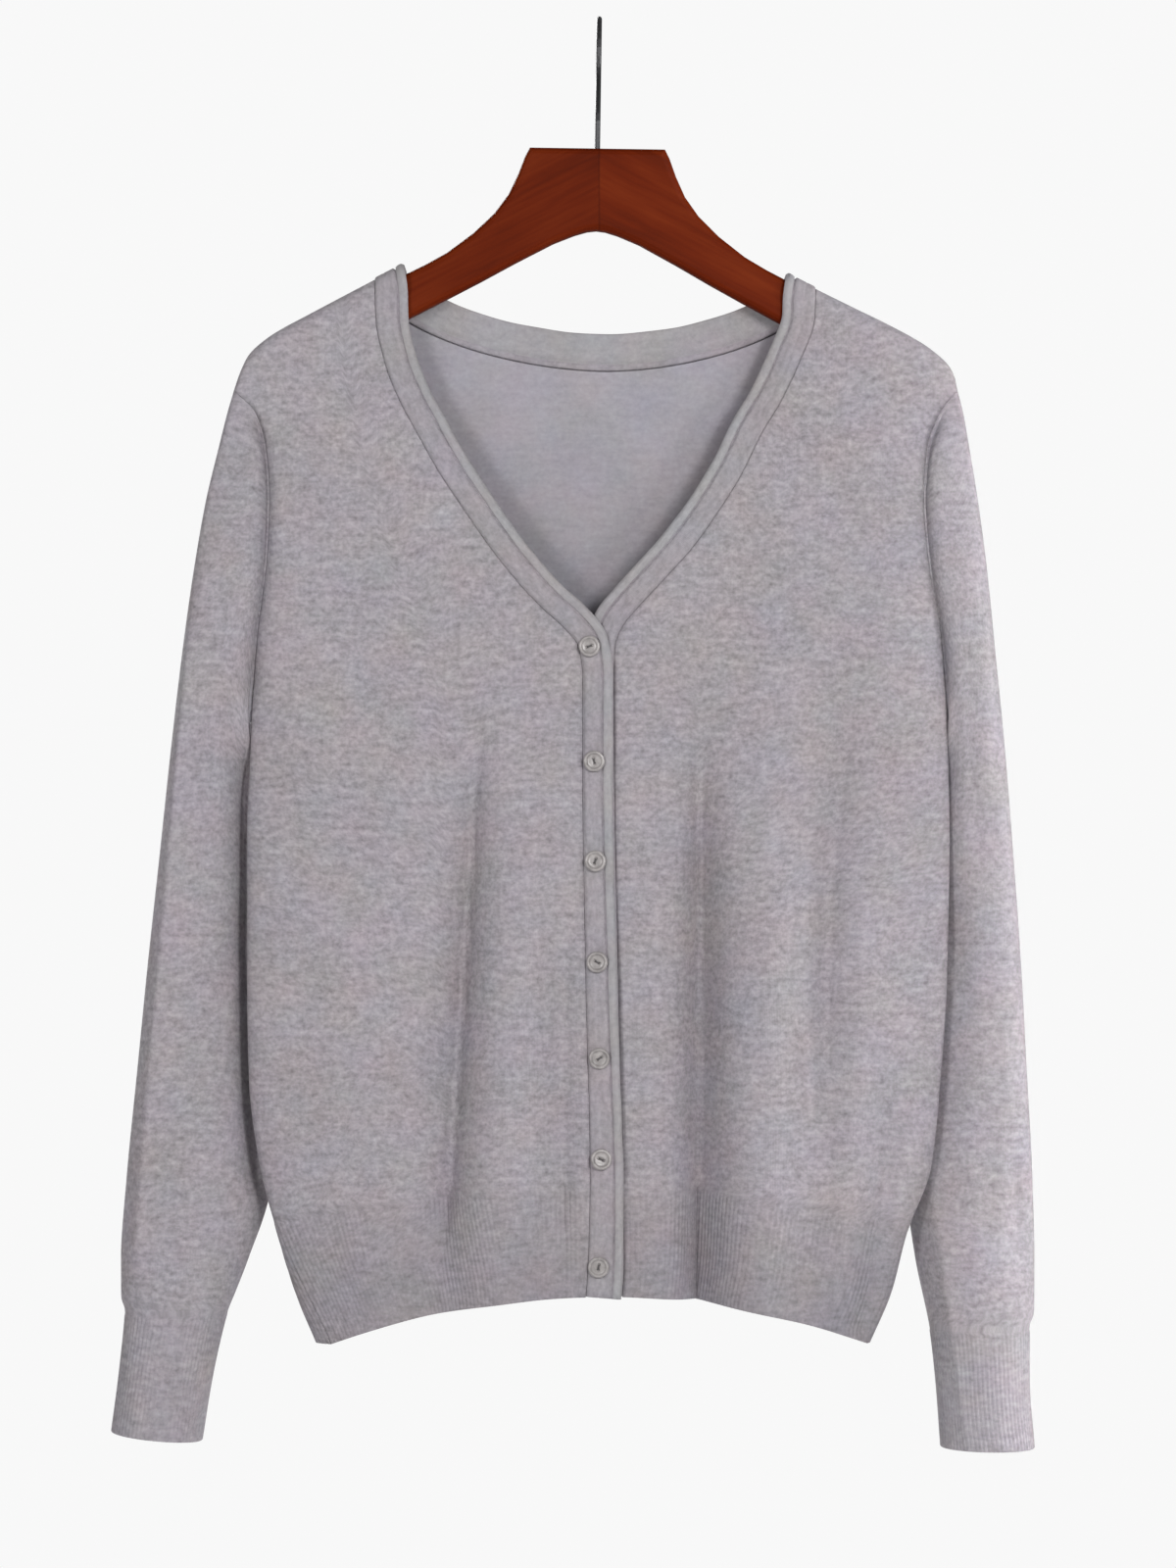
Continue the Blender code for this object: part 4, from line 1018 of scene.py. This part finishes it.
def band_frames():
    """At each station the point, the direction across towards the opening, the outward normal and the run."""
    points, normals = band_stations()
    run = distances(points, 0)

    def along_at(at):
        return np.stack([np.interp(at, run, points[:, k]) for k in range(3)], -1)

    along = unit(along_at(run + BAND_EASE) - along_at(run - BAND_EASE))
    across_band = unit(np.cross(along, normals))
    return points, across_band, unit(np.cross(across_band, along)), run


def rounded(corners, count):
    """A smooth curve through corners, with `count` points to each stretch."""
    corners = np.array(corners, float)
    padded = np.concatenate([corners[:1], corners, corners[-1:]])
    out = []
    for a, b, c, d in zip(padded, padded[1:], padded[2:], padded[3:]):
        for share in np.arange(count) / count:
            square = (2 * a - 5 * b + 4 * c - d) * share**2
            cube = (3 * b - a - 3 * c + d) * share**3
            out.append(0.5 * (2 * b + (c - a) * share + square + cube))
    return np.array(out + [corners[-1]])


def waves(lengths, run):
    """A sum of sine waves along the band, which makes it uneven."""
    return sum(math.sin(run / length + start) for length, start in lengths)


def band_section(z, run):
    """The band's outline at a station as (across, out) from its seam and its inner face."""
    flat, roll = BAND_WIDTH["flat"](z), BAND_WIDTH["roll"](z)
    start = flat + BAND_GROOVE
    lump = LINK_LUMP * waves(LINK_WAVES, run)
    ridge = LINK_LOW + (LINK_HEIGHT - LINK_LOW + lump) * ease((LINK_TOP_Z - z) / LINK_FADE)
    half = -LINK_REACH / 2
    linked = [(LINK_START, -ridge), (half, -ridge), (-LINK_REACH, -LINK_EDGE), (half, -LINK_CLEAR)]
    sewn = [(SEAM + far, high) for far, high in BAND_SEWN]
    flat_part = [(flat * share, BAND_THICKNESS - dip) for share, dip in BAND_FLAT]
    groove = [(flat + far, high) for far, high in BAND_GROOVED]
    swell = 1 + ROLL_WAVE * waves(ROLL_WAVES, run)
    rolled = rounded([(start + roll * p.share * swell, p.height) for p in BAND_ROLL], 4).tolist()
    inner = [(flat, 0.0), (flat / 2, 0.0), (BACK_START, 0.0), (LINK_START, -ridge)]
    return np.array(linked + sewn + flat_part + groove + rolled + inner)


def make_band(looks):
    knit = Knit()
    points, across_band, out, run = band_frames()
    loops = []
    for n in range(len(points)):
        section = band_section(points[n, 2], run[n])
        loops.append(points[n] + section[:, :1] * across_band[n] + (section[:, 1:] - CLOTH / 2) * out[n])
    loops = np.stack(loops)
    around = distances(loops, 1)
    places = np.stack([around, np.broadcast_to(run[:, None], around.shape)], -1)
    index = knit.add(loops, places)
    knit.grid(index[:, :ROLL_FIRST], 0)
    knit.grid(index[:, ROLL_FIRST - 1 :], 1)
    for end in (0, -1):
        centre = knit.add(loops[end].mean(0)[None], places[end].mean(0)[None])[0]
        knit.keep([(index[end][n], index[end][n + 1], centre) for n in range(index.shape[1] - 1)], 0)
    return knit.finished("neck_and_front_band_knit", looks)


BUTTON_RIM = Curve(
    [0, 0.45, 0.62, 0.72, 0.8, 0.88, 0.95, 1.0], [0.2, 0.2, 0.23, 0.36, 0.42, 0.41, 0.34, 0.2]
)


def button_face(x, y):
    """The height of a button's front over its back, as a share of its radius."""
    radius = np.hypot(x, y)
    height = BUTTON_RIM(radius)
    length, width, depth = RECESS
    height = height - np.exp(-((x / length) ** 4 + (y / width) ** 4)) * depth
    for side in (-1, 1):
        hole = np.hypot(x - side * HOLE_OUT, y)
        height = mix(height, HOLE_FLOOR, ease((HOLE_RADIUS + HOLE_EASE - hole) / (2 * HOLE_EASE)))
    return height


def make_button(number, turn, tilt, looks):
    """A small two-hole button with a raised rim, a recess for the thread, and the thread."""
    low, high = (Vector(corner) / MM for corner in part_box(f"button_{number}"))
    centre = (low + high) / 2
    points, _, out, _ = BAND
    upright = (points[:, 0] < BUTTON_STAND_X) & (points[:, 2] < BUTTON_STAND_Z)
    stand = upright & (np.arange(len(points)) < len(points) // 2)
    nearest = np.argmin(np.where(stand, np.abs(points[:, 2] - centre.z), np.inf))
    outward = Vector(out[nearest])
    size = BUTTON_WIDTH / 2
    frame_of = outward.to_track_quat("Z", "Y").to_matrix().to_4x4()
    spin = Matrix.Rotation(math.radians(tilt[0]), 4, "Y") @ Matrix.Rotation(math.radians(tilt[1]), 4, "X")
    place = Matrix.Translation(centre) @ frame_of @ spin @ Matrix.Rotation(math.radians(turn), 4, "Z")
    knit = Knit()
    radii = np.concatenate([np.linspace(0, *FACE_CIRCLES), np.linspace(*RIM_CIRCLES)])
    turns = np.linspace(0, 2 * math.pi, BUTTON_STEPS + 1)
    x, y = radii[:, None] * np.cos(turns), radii[:, None] * np.sin(turns)
    face = np.stack([x, y, button_face(x, y)], -1)
    rings = [(r * np.cos(turns), r * np.sin(turns), z + 0 * turns) for r, z in BUTTON_BACK]
    shape = np.concatenate([face, np.moveaxis(rings, 1, -1)]) * size - (0, 0, BUTTON_MIDDLE)
    index = knit.add(shape, shape[..., :2])
    knit.grid(index, 0)
    bar = np.linspace(-1, 1, 13)
    ring = np.linspace(0, 2 * math.pi, 9)
    for shift in (-THREAD_SHIFT, THREAD_SHIFT):
        path = np.stack([bar * HOLE_OUT, shift + 0 * bar, THREAD_HEIGHT - THREAD_SINK * np.abs(bar) ** 6], -1)
        tube = path[:, None] + THREAD_RADIUS * np.stack([0 * ring, np.cos(ring), np.sin(ring)], -1)[None]
        thread = tube * size - (0, 0, BUTTON_MIDDLE)
        knit.grid(knit.add(thread, thread[..., :2]), 1)
    thing = knit.finished(f"button_{number}_face", looks)
    thing.data.transform(Matrix.Scale(MM, 4) @ place @ Matrix.Scale(1 / MM, 4))
    return thing


def feed(node, socket, output):
    """Links an output to an input of a node."""
    node.id_data.links.new(output, node.inputs[socket])


def new_material(name, roughness, **constants):
    """A new Principled material with its constants set, its shader, and the object's coordinates."""
    made = bpy.data.materials.new(name)
    made.use_nodes = True
    shader = made.node_tree.nodes["Principled BSDF"]
    shader.inputs["Roughness"].default_value = roughness
    for socket, value in constants.items():
        shader.inputs[socket.replace("_", " ")].default_value = value
    return made, shader, add_node(made, "TexCoord").outputs["Object"]


def add_node(material, kind, inputs=(), **settings):
    """Adds a shader node, sets its properties, and links or sets its inputs."""
    made = material.node_tree.nodes.new(f"ShaderNode{kind}")
    for key, value in settings.items():
        setattr(made, key, value)
    for key, value in dict(inputs).items():
        if isinstance(value, bpy.types.NodeSocket):
            feed(made, key, value)
        else:
            made.inputs[key].default_value = value
    return made


def maths(material, operation, *values):
    return add_node(material, "Math", dict(enumerate(values)), operation=operation).outputs[0]


def times(material, first, second):
    return maths(material, "MULTIPLY", first, second)


def noise(material, vector, scale, detail=2.0, kind="3D"):
    inputs = {"Vector": vector, "Scale": scale, "Detail": detail}
    return add_node(material, "TexNoise", inputs, noise_dimensions=kind).outputs["Fac"]


def stretched(material, vector, scale):
    return add_node(material, "Mapping", {"Vector": vector, "Scale": scale}).outputs[0]


def remapped(material, value, low, high, to_low, to_high, clamp=True):
    inputs = {"Value": value, "From Min": low, "From Max": high, "To Min": to_low, "To Max": to_high}
    return add_node(material, "MapRange", inputs, clamp=clamp).outputs[0]


def spread_of(material, value, low, high):
    """A noise value stretched round its mean so that most of it lies between low and high."""
    return remapped(material, value, *NOISE_SPAN, low, high, clamp=False)


def ramp(material, value, first, last, *between):
    """A colour ramp through places and colours."""
    made = add_node(material, "ValToRGB", {"Fac": value})
    stops = made.color_ramp.elements
    for stop, (place, colour) in zip(stops, (first, last)):
        stop.position, stop.color = place, (*colour, 1)
    for place, colour in between:
        stops.new(place).color = (*colour, 1)
    return made.outputs[0]


def knit_material(name, tone, streak, lengthwise=False, purl=False, red=KNIT_RED, blue=KNIT_BLUE, hem=False):
    """Grey melange jersey: streaks along the courses, soft mottling, and the relief of the stitches.

    The hem's ribs are drawn together more and more towards the edge, so less light gets between them; that
    shade is painted into their colour, which darkens towards the edge.
    """
    made, shader, solid = new_material(name, **KNIT_SHADER)
    place = add_node(made, "UVMap", uv_map="knit").outputs[0]
    mottle = spread_of(made, noise(made, solid, MOTTLE_SCALE), -MOTTLE, MOTTLE)
    value = maths(made, "ADD", mottle, 1.0)
    for length, height, share in STREAKS:
        along = (1 / height, 1 / length, 1) if lengthwise else (1 / length, 1 / height, 1)
        streaky = noise(made, stretched(made, place, along), 1.0, 3.0, "2D")
        value = maths(made, "ADD", value, spread_of(made, streaky, -streak * share, streak * share))
    value = times(made, value, tone * KNIT_GREY)
    # painted shade: the colour of the hem's ribs darkens towards the edge
    if hem:
        top, bottom, shade = PAINTED_HEM_SHADE
        height = add_node(made, "SeparateXYZ", {0: solid}).outputs[2]
        value = times(made, value, remapped(made, height, bottom, top, shade, 1.0))
    hues = []
    for scale, part in zip(HUE_SCALES, (red, blue)):
        drift = noise(made, solid, scale, 3.0)
        hue = spread_of(made, drift, part - KNIT_HUE_DRIFT, part + KNIT_HUE_DRIFT)
        hues.append(times(made, value, hue))
    feed(shader, "Base Color", add_node(made, "CombineColor", {0: hues[0], 1: value, 2: hues[1]}).outputs[0])
    relief = {"Height": stitch_relief(made, place, purl, lengthwise), **STITCH_BUMP}
    feed(shader, "Normal", add_node(made, "Bump", relief).outputs[0])
    return made


def stitch_relief(made, place, purl, lengthwise):
    """The V of each stitch, WALE wide and COURSE high, or the low arcs of the purl side."""
    axes = add_node(made, "SeparateXYZ", {0: place}).outputs
    u, v = (axes[1], axes[0]) if lengthwise else (axes[0], axes[1])
    wale = times(made, u, 2 * math.pi / WALE)
    course = times(made, v, 2 * math.pi / COURSE)
    column = maths(made, "COSINE", wale)
    if purl:
        return maths(made, "SINE", maths(made, "ADD", course, column))
    lean = times(made, maths(made, "ABSOLUTE", maths(made, "SINE", times(made, wale, 0.5))), STITCH_LEAN)
    strand = maths(made, "SINE", maths(made, "ADD", course, lean))
    return maths(made, "SUBTRACT", times(made, strand, 0.5), times(made, column, 0.5))


def clouded(name, roughness, scale, detail, dark, light, **constants):
    """A plain material that a soft noise makes darker and lighter. Each tone is a place and a colour."""
    made, shader, solid = new_material(name, roughness, **constants)
    feed(shader, "Base Color", ramp(made, noise(made, solid, scale, detail), dark, light))
    return made


def wood_material():
    """Red-brown stained mahogany: soft grain along each arm, and a fine joint line at the middle."""
    made, shader, solid = new_material("stained_mahogany", 0.5, Specular_IOR_Level=0.05)
    axis = add_node(made, "SeparateXYZ", {0: solid}).outputs[0]
    half = maths(made, "GREATER_THAN", axis, JOINT_X * MM)
    grains = []
    for turn, shift in ((GRAIN_TURN, 0), (-GRAIN_TURN, GRAIN_SHIFT)):
        along = {"Vector": solid, "Rotation": (0, math.radians(turn), 0), "Location": (shift, 0, 0)}
        turned = add_node(made, "Mapping", along).outputs[0]
        broad = noise(made, stretched(made, turned, GRAIN_BROAD), 1.0, 4.0)
        fine = noise(made, stretched(made, turned, GRAIN_FINE), 1.0, 3.0)
        broad, fine = times(made, broad, 1 - GRAIN_FINENESS), times(made, fine, GRAIN_FINENESS)
        grains.append(maths(made, "ADD", broad, fine))
    both = add_node(made, "Mix", {"Factor": half, "A": grains[0], "B": grains[1]}).outputs["Result"]
    tint = ramp(made, both, (0.33, WOOD_DARK), (0.68, WOOD_LIGHT), (0.5, WOOD_MIDDLE))
    joint = maths(made, "ABSOLUTE", maths(made, "SUBTRACT", axis, JOINT_X * MM))
    shade = remapped(made, joint, *JOINT_LINE, JOINT_SHADE, 1.0)
    shade = times(made, shade, maths(made, "ADD", times(made, half, 0.1), 0.95))
    colour = add_node(made, "VectorMath", {0: tint, 1: shade}, operation="MULTIPLY")
    feed(shader, "Base Color", colour.outputs[0])
    bump = add_node(made, "Bump", {"Height": both, "Strength": 0.06, "Distance": 0.0002})
    feed(shader, "Normal", bump.outputs[0])
    return made


def make_world():
    """A pale room: near white to the camera and dimmer as a light."""
    world = bpy.data.worlds.new("studio")
    world.use_nodes = True
    bpy.context.scene.world = world
    world.node_tree.nodes.clear()
    seen = add_node(world, "Background", {"Color": (*BACKDROP, 1)}).outputs[0]
    cast = add_node(world, "Background", {"Color": (*AMBIENT_TINT, 1), "Strength": AMBIENT}).outputs[0]
    camera = add_node(world, "LightPath").outputs["Is Camera Ray"]
    both = add_node(world, "MixShader", {0: camera, 1: cast, 2: seen})
    add_node(world, "OutputWorld", {0: both.outputs[0]})


def add_light(light):
    data = bpy.data.lights.new(light.name, "AREA")
    data.shape, data.energy = "RECTANGLE", light.power
    data.size, data.size_y = light.size
    data.spread = math.radians(light.spread)
    thing = placed(light.name, data, light.place)
    thing.rotation_mode = "QUATERNION"
    thing.rotation_quaternion = (Vector(light.aim) - Vector(light.place)).to_track_quat("-Z", "Y")


def make_camera():
    data = bpy.data.cameras.new("camera")
    data.sensor_fit, data.sensor_width, data.sensor_height = "VERTICAL", 36, 36
    data.lens = LENS
    camera = placed("camera", data, CAMERA_PLACE)
    camera.rotation_euler = (math.pi / 2, 0, 0)
    bpy.context.scene.camera = camera


def make_floor():
    work = bmesh.new()
    bmesh.ops.create_circle(work, cap_ends=True, segments=128, radius=FLOOR_RADIUS)
    data = bpy.data.meshes.new("floor")
    work.to_mesh(data)
    work.free()
    data.materials.append(clouded("pale_floor", 0.85, 3.0, 2.0, (0, [0.82] * 3), (1, [0.86] * 3)))
    placed("floor", data, (0, 0, FLOOR_Z))


def dress(node, material):
    """Gives a CAD node's own object a material."""
    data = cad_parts[node].data
    data.materials.clear()
    data.materials.append(material)


def declare(piece, node, slot, **cut):
    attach(piece, "root")
    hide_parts(node)


make_camera()
make_world()
make_floor()
for light in LIGHTS:
    add_light(light)

KNIT_LOOKS = [
    knit_material("knit_outside", 0.99, 0.135),
    knit_material("knit_inside", 1.08, 0.05, purl=True, red=1.06, blue=1.1),
    # the hem's ribs, with painted shade towards the edge
    knit_material("knit_hem_rib_painted_shade", 0.97, 0.12, hem=True),
]
SLEEVE_LOOKS = [*KNIT_LOOKS[:2], knit_material("knit_cuff_rib", 0.97, 0.12)]
BAND_LOOKS = [
    knit_material("knit_band", 0.95, 0.09, lengthwise=True),
    knit_material("knit_roll", 1.06, 0.06, lengthwise=True, purl=True, red=1.045, blue=1.04),
]

spans = {}
for node, surface, columns in (
    ("right_front", front(-1), FRONT_COLUMNS),
    ("left_front", front(1), FRONT_COLUMNS),
    ("back", back, BACK_COLUMNS),
):
    spans[node] = knit_wall(
        f"{node}_knit", surface, np.linspace(0, 1, columns), body_places(node == "back"),
        RIB_ROW, LAST_ROW, round(HEM_WIDTHS[node] / RIB_PITCH), KNIT_LOOKS,
    )
for side, node in ((-1, "right_sleeve"), (1, "left_sleeve")):
    spans[node] = knit_wall(
        f"{node}_knit", sleeve(side), np.linspace(0.5, 1.5, SLEEVE_COLUMNS + 1), sleeve_places,
        CUFF_RING, len(SLEEVE_RINGS[side]) - 1, CUFF_RIBS, SLEEVE_LOOKS, start=0.5, allowance=True,
    )
BAND = band_frames()
band = make_band(BAND_LOOKS)

for node, piece in spans.items():
    declare(piece, node, "grey_melange_knit", **CUTS[node])
declare(band, "neck_and_front_band", "grey_melange_knit", **CUTS["band"])

button_looks = [
    clouded(
        "button_shell", 0.36, 260.0, 4.0, (0.35, (0.25, 0.232, 0.228)), (0.7, (0.39, 0.364, 0.356)),
        Coat_Weight=0.25, Coat_Roughness=0.2, Specular_IOR_Level=0.4,
    ),
    clouded(
        "sewing_thread", 0.8, 900.0, 2.0, (0, (0.05, 0.046, 0.047)), (1, (0.12, 0.112, 0.114)),
        Sheen_Weight=0.2,
    ),
]
for number, (turn, tilt_x, tilt_y) in enumerate(BUTTON_TURNS, start=1):
    button = make_button(number, turn, (tilt_x, tilt_y), button_looks)
    declare(button, f"button_{number}", "button_resin")

dress("hanger_wood", wood_material())
steel = clouded(
    "dark_steel", 0.38, 700.0, 3.0, (0, (0.06, 0.06, 0.062)), (1, (0.13, 0.13, 0.135)), Metallic=0.9
)
dress("hanger_hook", steel)

view = bpy.context.scene.view_settings
view.view_transform, view.look = "Standard", "None"
